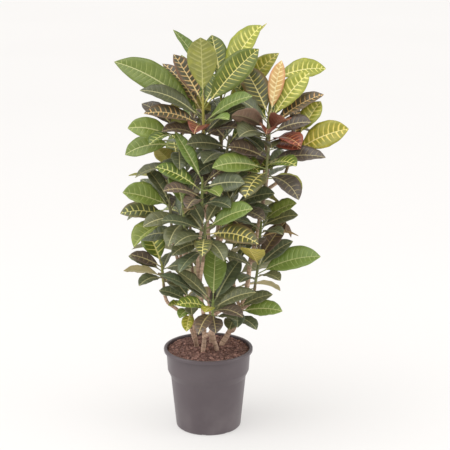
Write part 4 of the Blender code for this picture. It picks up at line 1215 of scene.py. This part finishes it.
def fine_rod(curve, radii, collar, spacing, shift):
    """Curve and radii of a stem with old leaf rings, and the ring share of each point."""
    lengths = [0.0]
    for here, there in zip(curve, curve[1:]):
        lengths.append(lengths[-1] + (there - here).length)
    count = max(int(lengths[-1] / ROD_STEP), 4)
    marks = [lengths[-1] * index / count for index in range(count + 1)]
    fine = [Vector([float(np.interp(mark, lengths, [point[axis] for point in curve])) for axis in range(3)])
            for mark in marks]
    base = [float(np.interp(mark, lengths, radii)) for mark in marks]
    rings, share = [], []
    for mark, radius, point in zip(marks, base, fine):
        phase = (mark / spacing + shift + RING_WANDER * noise.noise(point * 60)) % 1.0
        ring = math.exp(-((phase - 0.5) / RING_WIDTH) ** 2)
        lump = BARK_LUMPS * noise.noise(point * 170)
        flare = COLLAR * math.exp(-mark / COLLAR_LENGTH) if collar else 0.0
        rings.append(radius * (1 + lump + flare) + RING_HEIGHT * ring)
        share.append(ring)
    return fine, rings, share


def make_stems(settings):
    """Five woody stems with their branches, old leaf rings and collars."""
    bark = croton_bark(settings)
    for number, name in enumerate(STEMS):
        rods = []
        courses = stem_rods(name, TRUNK_STEPS_FINE, BRANCH_STEPS_FINE)
        for index, (curve, radii, direction) in enumerate(courses):
            fine, widths, share = fine_rod(curve, radii, index > 0, settings.ring_spacing,
                                           0.37 * index + 0.19 * number)
            rod = mesh_object(name + "_rod", *tube(fine, widths, settings.sides, direction), [bark])
            ring = rod.data.attributes.new("ring", "FLOAT", "POINT")
            ring.data.foreach_set("value", [value for value in share for _ in range(settings.sides)])
            rods.append(rod)
        whole = unite(rods[0], rods[1:])
        whole.name = "woody_" + name
        whole.data.name = whole.name
        whole.data.polygons.foreach_set("use_smooth", [True] * len(whole.data.polygons))
        stand_in_for(whole, name)


# ============================================================== leaves
def attribute(tree, name, output="Color"):
    """One value stored on the leaves."""
    return add(tree, "ShaderNodeAttribute", output=output, attribute_name=name)


def vein_masks(tree, soften):
    """Masks of side veins, midrib and the halo round the veins, and the share out to the margin."""
    place = add(tree, "ShaderNodeSeparateXYZ", {"Vector": attribute(tree, "place", "Vector")}).node
    along, out, middle = place.outputs
    wobble = maths(tree, "SUBTRACT", grain(tree, 5.0, 2.0), 0.5)
    along = maths(tree, "MULTIPLY_ADD", wobble, 0.22, along)
    distance = maths(tree, "PINGPONG", along, 0.5)
    # every vein has its own strength and ends at its own distance from the midrib
    number = maths(tree, "FLOOR", maths(tree, "ADD", along, 0.5))
    chance = add(tree, "ShaderNodeTexWhiteNoise",
                 {"W": maths(tree, "ADD", number, attribute(tree, "vein", "Alpha"))},
                 noise_dimensions="1D")
    patches = grain(tree, 16.0, 2.0)
    width = maths(tree, "MULTIPLY", attribute(tree, "ground", "Alpha"),
                  maths(tree, "MULTIPLY_ADD", out, -0.75, 1.30))
    width = maths(tree, "MULTIPLY", width, maths(tree, "MULTIPLY_ADD", chance, 0.6, 0.7))
    vein = ramp(tree, distance, maths(tree, "MULTIPLY", width, 1.0 - soften),
                maths(tree, "MULTIPLY", width, 1.0 + soften), 1.0, 0.0)
    end = maths(tree, "MULTIPLY_ADD", chance, 0.38, 0.62)
    vein = maths(tree, "MULTIPLY", vein, ramp(tree, out, maths(tree, "SUBTRACT", end, 0.32), end, 1.0, 0.0))
    halo = ramp(tree, distance, width, maths(tree, "MULTIPLY_ADD", width, 2.0, 0.10), 1.0, 0.0)
    halo = maths(tree, "MULTIPLY", halo, maths(tree, "MULTIPLY", attribute(tree, "second", "Alpha"),
                                               ramp(tree, patches, 0.35, 0.62)))
    halo = maths(tree, "MULTIPLY", halo, ramp(tree, out, 0.4, 1.0, 1.0, 0.2))
    middle = ramp(tree, middle, 0.60, 1.20, 1.0, 0.0)
    return vein, middle, halo, out


# cells of the finest veins: 420 to the metre, drawn coarser than the real
# 1.5 mm so that they show
NET_SCALE = 420.0


def upper_leaf_face(settings):
    """Upper face of a croton leaf: leathery, with a waxy gloss and sunken painted veins."""
    material, tree, shader = new_material("waxy_leaf_upper")
    vein, middle, halo, out = vein_masks(tree, 0.55)
    ground, second = attribute(tree, "ground"), attribute(tree, "second")
    tint = maths(tree, "MULTIPLY", attribute(tree, "margin", "Alpha"), ramp(tree, out, 0.55, 1.0))
    mottle = grain(tree, 9.0, 4.0, 0.6)
    colour = blend_colours(tree, ramp(tree, mottle, 0.45, 0.75, 0.0, 0.65), ground, second)
    colour = blend_colours(tree, tint, colour, attribute(tree, "margin"))
    colour = blend_colours(tree, halo, colour, blend_colours(tree, 0.55, second, attribute(tree, "vein")))
    colour = blend_colours(tree, maths(tree, "MULTIPLY", vein, 0.80), colour, attribute(tree, "vein"))
    pale = blend_colours(tree, 0.50, attribute(tree, "vein"), rgba(linear("#E8E0A8")))
    colour = blend_colours(tree, maths(tree, "MULTIPLY", middle, 0.92), colour, pale)
    tree.links.new(colour, shader.inputs["Base Color"])
    fine = grain(tree, 0.7, 2.0)
    rough = maths(tree, "MULTIPLY_ADD", mottle, 0.16, settings.gloss - 0.08)
    tree.links.new(rough, shader.inputs["Roughness"])
    # the lamina is puckered between the finest veins
    net = add(tree, "ShaderNodeTexVoronoi",
              {"Vector": object_place(tree), "Scale": NET_SCALE}, feature="DISTANCE_TO_EDGE")
    relief = maths(tree, "MULTIPLY_ADD", ramp(tree, net, 0.0, 0.22), 0.25,
                   maths(tree, "MULTIPLY", fine, 0.10))
    relief = maths(tree, "SUBTRACT", relief, maths(tree, "MULTIPLY", vein, 0.75))
    bump = add(tree, "ShaderNodeBump", {"Height": relief, "Strength": 0.55, "Distance": 0.0005})
    tree.links.new(bump, shader.inputs["Normal"])
    shader.inputs["IOR"].default_value = 1.46
    return material


def under_leaf_face():
    """Underside of a croton leaf: paler, dull, with raised veins."""
    material, tree, shader = new_material("dull_leaf_underside")
    vein, middle, halo, _ = vein_masks(tree, 0.45)
    mottle = grain(tree, 9.0, 4.0, 0.6)
    under = attribute(tree, "under")
    colour = blend_colours(tree, ramp(tree, mottle, 0.40, 0.75, 0.0, 0.5), under, attribute(tree, "second"))
    colour = blend_colours(tree, maths(tree, "MULTIPLY", halo, 0.3), colour, attribute(tree, "vein"))
    pale = blend_colours(tree, 0.45, attribute(tree, "vein"), rgba(linear("#C9C7A0")))
    colour = blend_colours(tree, maths(tree, "MULTIPLY", vein, 0.26), colour, pale)
    colour = blend_colours(tree, maths(tree, "MULTIPLY", middle, 0.6), colour, pale)
    tree.links.new(colour, shader.inputs["Base Color"])
    shader.inputs["Roughness"].default_value = 0.62
    relief = maths(tree, "ADD", maths(tree, "MULTIPLY", vein, 0.8), maths(tree, "MULTIPLY", mottle, 0.15))
    bump = add(tree, "ShaderNodeBump", {"Height": relief, "Strength": 0.6, "Distance": 0.0006})
    tree.links.new(bump, shader.inputs["Normal"])
    shader.inputs["IOR"].default_value = 1.46
    return material


def green_stem(settings):
    """Young stem and stalks: smooth green skin that turns to brown cork at the foot."""
    material, tree, shader = new_material("green_stem_skin")
    patches = grain(tree, 6.0, 3.0)
    age = attribute(tree, "age", "Fac")
    cork = ramp(tree, maths(tree, "MULTIPLY_ADD", maths(tree, "SUBTRACT", patches, 0.5), 0.7, age), 0.45, 0.8)
    fresh = blend_colours(tree, 0.35, rgba(settings.shoot), attribute(tree, "vein"))
    colour = blend_colours(tree, ramp(tree, patches, 0.3, 0.75, 0.0, 0.5), fresh, attribute(tree, "second"))
    colour = blend_colours(tree, cork, colour, rgba(linear("#84705A")))
    tree.links.new(colour, shader.inputs["Base Color"])
    tree.links.new(maths(tree, "MULTIPLY_ADD", cork, 0.35, 0.42), shader.inputs["Roughness"])
    fine = grain(tree, 0.9, 3.0)
    bump = add(tree, "ShaderNodeBump", {"Height": fine, "Strength": 0.35, "Distance": 0.0004})
    tree.links.new(bump, shader.inputs["Normal"])
    return material


def smooth_share(value, low, high):
    """A soft step as an array, 0 at low and 1 at high."""
    t = np.clip((value - low) / (high - low), 0.0, 1.0)
    return t * t * (3 - 2 * t)


def outline(s):
    """Half width of the fine blade: the plain blade with a drawn-out tip."""
    s = np.clip(s, 1e-6, 1 - 1e-6)
    widest = BASE_POWER / (BASE_POWER + TIP_POWER)
    full = widest ** BASE_POWER * (1 - widest) ** TIP_POWER
    plain = s ** BASE_POWER * (1 - s) ** TIP_POWER / full
    return plain * np.minimum(1.0, (1 - s) / TIP_DRAW) ** TIP_DRAW


def bent(leaf, s, extra):
    """Midrib frames at any places as arrays, rolled a little more towards the tip."""
    table = np.linspace(0.0, 1.0, RIB_TABLE)
    frames = midrib(leaf, table.tolist())
    point, across, up = (
        np.stack([np.interp(s, table, [frame[part][axis] for frame in frames]) for axis in range(3)],
                 axis=-1) for part in (0, 2, 3))
    turn = np.radians(extra) * (s - 0.35)
    cosine, sine = np.cos(turn)[..., None], np.sin(turn)[..., None]
    across, up = cosine * across + sine * up, cosine * up - sine * across
    return point, across, up


def fine_leaf(leaf, settings, look):
    """One leaf as a closed shell from the foot of its stalk to its tip.

    Every ring has the upper face from left to right and the underside back.
    Rings lean forward to the margin as the side veins do.
    """
    columns = settings.columns
    half_count = columns + 1
    line = np.linspace(1.0, -1.0, half_count)
    line = np.sign(line) * np.abs(line) ** CROWDING
    u = np.concatenate([line, line[::-1]])
    upper = np.concatenate([np.ones(half_count), -np.ones(half_count)])
    out = np.abs(u)
    frames = midrib(leaf, [0.0, 0.25, 0.5, 0.75, 1.0])
    blade = sum((there[0] - here[0]).length for here, there in zip(frames, frames[1:]))
    pairs = int(np.clip(round(blade / VEIN_SPACING), *VEIN_PAIRS))
    rings = pairs * RINGS_PER_VEIN
    sigma = (np.arange(1, rings) / rings)[:, None]
    slant = 0.5 * leaf["width"] / blade / math.tan(math.radians(VEIN_ANGLE))
    s = sigma + slant * out ** SLANT_POWER * 4 * sigma * (1 - sigma)
    point, across, up = bent(leaf, s, look["twist"])
    half = np.maximum(0.5 * leaf["width"] * outline(s), STALK_RADIUS * (1 - s))
    fold = math.radians(leaf["fold"])
    x = u * half
    z = math.sin(fold) * (np.sqrt(x ** 2 + GUTTER ** 2) - GUTTER)
    ends = np.sin(np.pi * np.clip(s, 0, 1)) ** 0.5
    turn = leaf["waves"] * s + leaf["phase"] + SIDE_PHASE * np.sign(u)
    z += leaf["wave"] * np.sin(math.tau * turn) * out ** 2.0 * ends
    z += RIPPLE * leaf["wave"] * np.sin(math.tau * (RIPPLE_TURNS * turn + 0.3)) * out ** 3.0 * ends
    z += CUSHION * half * np.sin(np.pi * out)
    number = sigma * pairs + np.where(u < 0, look["shift"], 0.0)
    z -= settings.relief * np.cos(math.tau * number) * np.sin(np.pi * out ** 0.8) ** 0.8 * ends
    thick = MIDDLE_HALF + (MARGIN_HALF - MIDDLE_HALF) * out ** 2
    neck = 1 - smooth_share(s, 0.0, BLADE_NECK)
    thick = thick + neck * (STALK_RADIUS * np.sqrt(1.02 - out ** 2) - thick)
    rib = RIB_DEPTH * (1 - s) ** 0.8 * np.exp(-(x / RIB_HALF) ** 2)
    z += upper * thick - np.where(upper < 0, rib, RIB_SINK * rib * (1 - neck))
    blade_points = point + (x * math.cos(fold))[..., None] * across + z[..., None] * up
    stalk_points = []
    for place in spread(-1.0, 0.0, STALK_RINGS):
        here, _, side, lift = midrib(leaf, [place])[0]
        at_stem = math.exp(-((1 + place) / PULVINUS_RUN[0]) ** 2)
        at_blade = BLADE_PULVINUS * math.exp(-(place / PULVINUS_RUN[1]) ** 2)
        swell = 1 + PULVINUS * (at_stem + at_blade)
        for share, face in zip((0.98 * u).tolist(), upper.tolist()):
            across_part = STALK_RADIUS * swell * share
            up_part = face * STALK_RADIUS * swell * math.sqrt(1 - share ** 2)
            stalk_points.append(here + across_part * side + up_part * lift)
    tip = midrib(leaf, [1.0])[0][0]
    ring_size = len(u)
    points = np.concatenate([np.array([tuple(spot) for spot in stalk_points]),
                             blade_points.reshape(-1, 3), np.array([tuple(tip)])])
    rows = STALK_RINGS + rings - 1
    first = np.arange(rows - 1)[:, None] * ring_size
    step = np.arange(ring_size)[None, :]
    after = (step + 1) % ring_size
    quads = np.stack([first + step, first + after, first + ring_size + after, first + ring_size + step],
                     axis=-1).reshape(-1, 4)
    last = (rows - 1) * ring_size
    faces = [tuple(quad) for quad in quads.tolist()]
    faces += [(last + index, last + (index + 1) % ring_size, len(points) - 1) for index in range(ring_size)]
    faces.append(tuple(reversed(range(ring_size))))
    kinds = np.where(np.arange(ring_size) < half_count - 1, 0, 1)
    ring_kinds = np.where(np.arange(rows - 1)[:, None] < STALK_RINGS - 1, 2, kinds[None, :])
    slots = np.concatenate([ring_kinds.ravel(), kinds, [2]])
    right = np.zeros(ring_size)
    right[columns // 2:columns] = look["shift"]
    right[half_count:half_count + columns // 2] = look["shift"]
    shift = np.concatenate([np.broadcast_to(right, (rows - 1, ring_size)).ravel(), right, [0.0]])
    rib_half = MIDRIB_HALF * (1 - MIDRIB_TAPER * s) * look["midrib"]
    place = np.stack([np.broadcast_to(sigma * pairs, s.shape), np.broadcast_to(out, s.shape),
                      np.abs(x) / rib_half], axis=-1).reshape(-1, 3)
    start = np.tile([0.0, 0.0, 0.0], (STALK_RINGS * ring_size, 1))
    place = np.concatenate([start, place, [[pairs, 1.0, 0.0]]])
    return points, faces, slots, shift, place


def look_of(leaf, settings, draw):
    """Colours and small differences of one leaf."""
    tone = leaf["tone"]
    if tone == "d" and draw.random() < MAROON_SHARE * leaf["tip"].z:
        tone = "m"
    row = TONES[tone]
    light = LOW_LEAF_LIGHT - LIGHT_LOSS * min(max((leaf["tip"].z - LIGHT_FROM) / LIGHT_RANGE, 0.0), 1.0)
    light *= draw.uniform(*LIGHT_SPREAD)
    warm = draw.uniform(-WARM_SPREAD, WARM_SPREAD)
    parts = {}
    for what in ("ground", "second", "vein", "margin", "under"):
        key = "underside" if what == "under" else what
        red, green, blue = getattr(settings, tone + "_" + key)
        parts[what] = (light * red * (1 + warm), light * green, light * blue * (1 - warm))
    alphas = {"ground": row[5] * draw.uniform(0.8, 1.25), "second": row[6] * draw.uniform(0.6, 1.3),
              "vein": draw.uniform(0.0, 90.0), "margin": row[7] * draw.uniform(0.3, 1.5), "under": 1.0}
    return {"colours": {what: (*parts[what], alphas[what]) for what in parts},
            "twist": draw.uniform(-TWIST, TWIST), "shift": draw.uniform(0.35, 0.65),
            "midrib": draw.uniform(0.85, 1.2)}


def bud_scales(name):
    """Three closed pointed scales at the tip of a shoot."""
    _, direction = foot_of(name)
    tip = Vector(SHOOTS[name]["tip"])
    side = direction.orthogonal().normalized()
    rods = []
    for index, (reach, lean) in enumerate(((1.35, 0.05), (1.0, 0.30), (0.8, 0.36))):
        out = Matrix.Rotation(math.tau * index / 3, 3, direction) @ side
        way = (direction + lean * out).normalized()
        start = tip + 0.0006 * out
        curve = [start + SHOOT_BUD * reach * share * way + 0.0006 * math.sin(math.pi * share) * out
                 for share in (-0.3, 0.0, 0.3, 0.6, 0.85, 1.0)]
        rods.append((curve, [0.0010, 0.0015, 0.0016, 0.0012, 0.0007, 0.0002], 0.0))
    return rods


# skin of a shoot: length of a step, swelling at a leaf and at an old scar
# with the lengths they run over, the most it may swell, and the scars'
# places as shares of the shoot
SKIN_STEP = 0.0025
LEAF_SWELL = 0.0006
LEAF_SWELL_RUN = 0.0028
SCAR_SWELL = 0.0004
SCAR_SWELL_RUN = 0.0013
MOST_SWELL = 0.0009
SCAR_PLACES = (0.06, 0.14, 0.22, 0.31)


def shoot_skin(name, leaves):
    """Rod of a shoot's green stem, swollen where its leaves stand, with ages."""
    foot, direction = foot_of(name)
    tip = Vector(SHOOTS[name]["tip"])
    length = (tip - foot).length
    count = max(int(length / SKIN_STEP), 8)
    spots = [(leaf["base"] - foot).dot(direction) for leaf in leaves]
    scars = [length * share for share in SCAR_PLACES]
    curve, radii = [], []
    for index in range(count + 1):
        mark = SHOOT_GAP + (length - SHOOT_GAP) * index / count
        radius = SHOOT_RADIUS + (SHOOT_TIP_RADIUS - SHOOT_RADIUS) * mark / length
        swell = sum(LEAF_SWELL * math.exp(-((mark - spot) / LEAF_SWELL_RUN) ** 2) for spot in spots)
        ring = sum(SCAR_SWELL * math.exp(-((mark - spot) / SCAR_SWELL_RUN) ** 2) for spot in scars)
        curve.append(foot + mark * direction)
        radii.append(radius + min(swell, MOST_SWELL) + ring)
    return curve, radii


SHOOT_SIDES_FINE = 14
BUD_SIDES = 10
# age of the stalks, which keeps cork off them
STALK_AGE = 0.15


def make_shoot(name, leaves, materials, settings, draw):
    """One leafy shoot: green stem, bud and its leaves, each a closed shell."""
    curve, radii = shoot_skin(name, leaves)
    count = len(curve) - 1
    points, faces, slots, shifts, places, ages = [], [], [], [], [], []
    looks = {what: [] for what in ("ground", "second", "vein", "margin", "under")}

    def take(more, patches, slot, shift, place, age, colours):
        first = len(points)
        points.extend(more)
        faces.extend(tuple(first + index for index in patch) for patch in patches)
        slots.extend(slot)
        shifts.extend(shift)
        places.extend(place)
        ages.extend(age)
        for what, colour in colours.items():
            looks[what].extend([colour] * len(more))

    main = look_of(leaves[0], settings, draw)["colours"]

    def take_rod(more, patches, age):
        take(more, patches, [2] * len(patches), [0.0] * len(patches), [(0.0, 0.0, 0.0)] * len(more),
             age, main)

    age = [1 - index / count for index in range(count + 1) for _ in range(SHOOT_SIDES_FINE)]
    take_rod(*tube(curve, radii, SHOOT_SIDES_FINE), age)
    for rod, widths, _ in bud_scales(name):
        take_rod(*tube(rod, widths, BUD_SIDES), [0.0] * (BUD_SIDES * len(rod)))
    for leaf in leaves:
        look = look_of(leaf, settings, draw)
        more, patches, slot, shift, place = fine_leaf(leaf, settings, look)
        take(more.tolist(), patches, slot.tolist(), shift.tolist(), place.tolist(),
             [STALK_AGE] * len(more), look["colours"])
    shoot = mesh_object("leafy_" + name, points, faces, materials, slots)
    mesh = shoot.data
    corners = np.empty(len(mesh.loops), dtype=np.int64)
    mesh.loops.foreach_get("vertex_index", corners)
    sizes = np.empty(len(mesh.polygons), dtype=np.int64)
    mesh.polygons.foreach_get("loop_total", sizes)
    vectors = np.array(places)[corners]
    vectors[:, 0] += np.repeat(np.array(shifts), sizes)
    mesh.attributes.new("place", "FLOAT_VECTOR", "CORNER").data.foreach_set("vector", vectors.ravel())
    mesh.attributes.new("age", "FLOAT", "POINT").data.foreach_set("value", ages)
    for what, colours in looks.items():
        layer = mesh.attributes.new(what, "FLOAT_COLOR", "POINT")
        layer.data.foreach_set("color", np.array(colours).ravel())
    stand_in_for(shoot, "shoot_" + name)


def tree_of_node(name):
    """Search tree of a node of the frame."""
    mesh = frame["nodes"][name].data
    points = [vertex.co.copy() for vertex in mesh.vertices]
    return BVHTree.FromPolygons(points, [tuple(face.vertices) for face in mesh.polygons])


def make_shoots(settings):
    """All leafy shoots, their leaves grown clear of each other."""
    fixed = [(None, tree_of_node(name)) for name in ("pot", "soil", *STEMS)]
    for name in SHOOTS:
        fixed.append((name, BVHTree.FromPolygons(*shoot_rod(name))))
    leaves = grow_leaves(fixed)
    materials = [upper_leaf_face(settings), under_leaf_face(), green_stem(settings)]
    for index, name in enumerate(SHOOTS):
        own = [leaf for leaf in leaves if leaf["owner"] == name]
        make_shoot(name, own, materials, settings, random.Random(LOOK_SEED + index))


# =============================================================== stage
def lit_sheet(settings):
    """Seamless translucent sheet, lit from below: nearly white and dull, so shadows stay faint."""
    material, tree, shader = new_material("translucent_sheet")
    cloud = grain(tree, 900.0, 2.0)
    shade = rgba(tuple(0.985 * part for part in settings.floor))
    colour = blend_colours(tree, ramp(tree, cloud, 0.35, 0.65), rgba(settings.floor), shade)
    tree.links.new(blend_colours(tree, settings.glow, colour, rgba((0.0, 0.0, 0.0))),
                   shader.inputs["Base Color"])
    shader.inputs["Emission Color"].default_value = rgba(settings.floor)
    shader.inputs["Emission Strength"].default_value = FULL_GLOW * settings.glow
    shader.inputs["Roughness"].default_value = 0.9
    shader.inputs["Specular IOR Level"].default_value = 0.15
    return material


# strength of the glow that matches the room's light on the floor
FULL_GLOW = 1.12
FLOOR_SIDES = 96
LAMPS = (
    # name, place, size, share of the soft lamps' power
    ("key", (-3.0, -0.9, 1.6), 2.8, 1.0),
    ("fill", (3.1, -0.8, 1.4), 2.8, 1.08),
)
LAMP_TARGET = (0.03, 0.0, 0.60)
# tilts in degrees about X and Y, and of the camera from straight down
CEILING_TILT = (12.0, -14.0)
CAMERA_PLACE = (0.045, -3.8, 1.58)
CAMERA_TILT = 75.0
ROOM_COLOUR = "#FBFAF9"


def make_stage(settings):
    """Lit floor, two soft lamps, light from above, even room light and the camera."""
    turns = [math.tau * index / FLOOR_SIDES for index in range(FLOOR_SIDES)]
    points = [(0.0, 0.0, 0.0)]
    points += [(settings.radius * math.cos(turn), settings.radius * math.sin(turn), 0.0) for turn in turns]
    faces = [(0, 1 + index, 1 + (index + 1) % FLOOR_SIDES) for index in range(FLOOR_SIDES)]
    floor = mesh_object("paper_floor", points, faces, [lit_sheet(settings)], smooth=False)
    for name, place, size, share in LAMPS:
        lamp = bpy.data.lights.new(name, "AREA")
        lamp.shape = "DISK"
        lamp.size = size
        lamp.energy = settings.lamp * share
        thing = bpy.data.objects.new(name, lamp)
        thing.location = place
        thing.rotation_euler = (Vector(LAMP_TARGET) - Vector(place)).to_track_quat("-Z", "Y").to_euler()
        thing.visible_camera = False
        bpy.context.scene.collection.objects.link(thing)
    ceiling = bpy.data.lights.new("ceiling", "SUN")
    ceiling.energy = settings.ceiling
    ceiling.angle = math.radians(settings.ceiling_angle)
    above = bpy.data.objects.new("ceiling", ceiling)
    above.rotation_euler = [math.radians(angle) for angle in CEILING_TILT] + [0.0]
    bpy.context.scene.collection.objects.link(above)
    world = bpy.data.worlds.new("room")
    world.use_nodes = True
    back = world.node_tree.nodes["Background"]
    back.inputs["Color"].default_value = rgba(linear(ROOM_COLOUR))
    back.inputs["Strength"].default_value = settings.sky
    scene = bpy.context.scene
    scene.world = world
    scene.view_settings.view_transform = "Standard"
    camera = bpy.data.cameras.new("camera")
    camera.lens = settings.lens
    camera.sensor_width = 36.0
    camera.clip_end = 100.0
    eye = bpy.data.objects.new("camera", camera)
    eye.location = CAMERA_PLACE
    eye.rotation_euler = (math.radians(CAMERA_TILT), 0.0, 0.0)
    scene.collection.objects.link(eye)
    scene.camera = eye


# ============================================================= add-on
class CROTON_OT_pot(bpy.types.Operator):
    """Make the nursery pot"""

    bl_idname = "croton.make_pot"
    bl_label = "Make Pot"

    def execute(self, context):
        make_pot(context.scene.croton_pot)
        return {"FINISHED"}


class CROTON_OT_soil(bpy.types.Operator):
    """Make the potting soil"""

    bl_idname = "croton.make_soil"
    bl_label = "Make Soil"

    def execute(self, context):
        make_soil(context.scene.croton_soil)
        return {"FINISHED"}


class CROTON_OT_stems(bpy.types.Operator):
    """Make the woody stems"""

    bl_idname = "croton.make_stems"
    bl_label = "Make Stems"

    def execute(self, context):
        make_stems(context.scene.croton_stems)
        return {"FINISHED"}


class CROTON_OT_shoots(bpy.types.Operator):
    """Make the leafy shoots"""

    bl_idname = "croton.make_shoots"
    bl_label = "Make Leafy Shoots"

    def execute(self, context):
        make_shoots(context.scene.croton_leaves)
        return {"FINISHED"}


class CROTON_OT_stage(bpy.types.Operator):
    """Make the floor, the lights and the camera"""

    bl_idname = "croton.make_stage"
    bl_label = "Make Stage"

    def execute(self, context):
        make_stage(context.scene.croton_stage)
        return {"FINISHED"}


SETTINGS = {
    "croton_pot": CrotonPotSettings,
    "croton_soil": CrotonSoilSettings,
    "croton_stems": CrotonStemSettings,
    "croton_leaves": CrotonLeafSettings,
    "croton_stage": CrotonStageSettings,
}
OPERATORS = (CROTON_OT_pot, CROTON_OT_soil, CROTON_OT_stems, CROTON_OT_shoots, CROTON_OT_stage)


class CROTON_PT_panel(bpy.types.Panel):
    """Sizes and colours of the potted croton"""

    bl_idname = "CROTON_PT_panel"
    bl_label = "Potted Croton"
    bl_space_type = "VIEW_3D"
    bl_region_type = "UI"
    bl_category = "Croton"

    def draw(self, context):
        for operator, name in zip(OPERATORS, SETTINGS):
            box = self.layout.box()
            box.operator(operator.bl_idname)
            group = getattr(context.scene, name)
            for setting in SETTINGS[name].__annotations__:
                box.prop(group, setting)


def register():
    """Add the settings, the operators and the panel."""
    for name, group in SETTINGS.items():
        bpy.utils.register_class(group)
        setattr(bpy.types.Scene, name, PointerProperty(type=group))
    for operator in OPERATORS:
        bpy.utils.register_class(operator)
    bpy.utils.register_class(CROTON_PT_panel)


def unregister():
    """Take them all out again."""
    bpy.utils.unregister_class(CROTON_PT_panel)
    for operator in reversed(OPERATORS):
        bpy.utils.unregister_class(operator)
    for name, group in reversed(SETTINGS.items()):
        delattr(bpy.types.Scene, name)
        bpy.utils.unregister_class(group)


def main():
    """Make the stage and every piece."""
    register()
    bpy.ops.croton.make_stage()
    bpy.ops.croton.make_pot()
    bpy.ops.croton.make_soil()
    bpy.ops.croton.make_stems()
    bpy.ops.croton.make_shoots()
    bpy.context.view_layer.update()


if __name__ == "__main__":
    main()
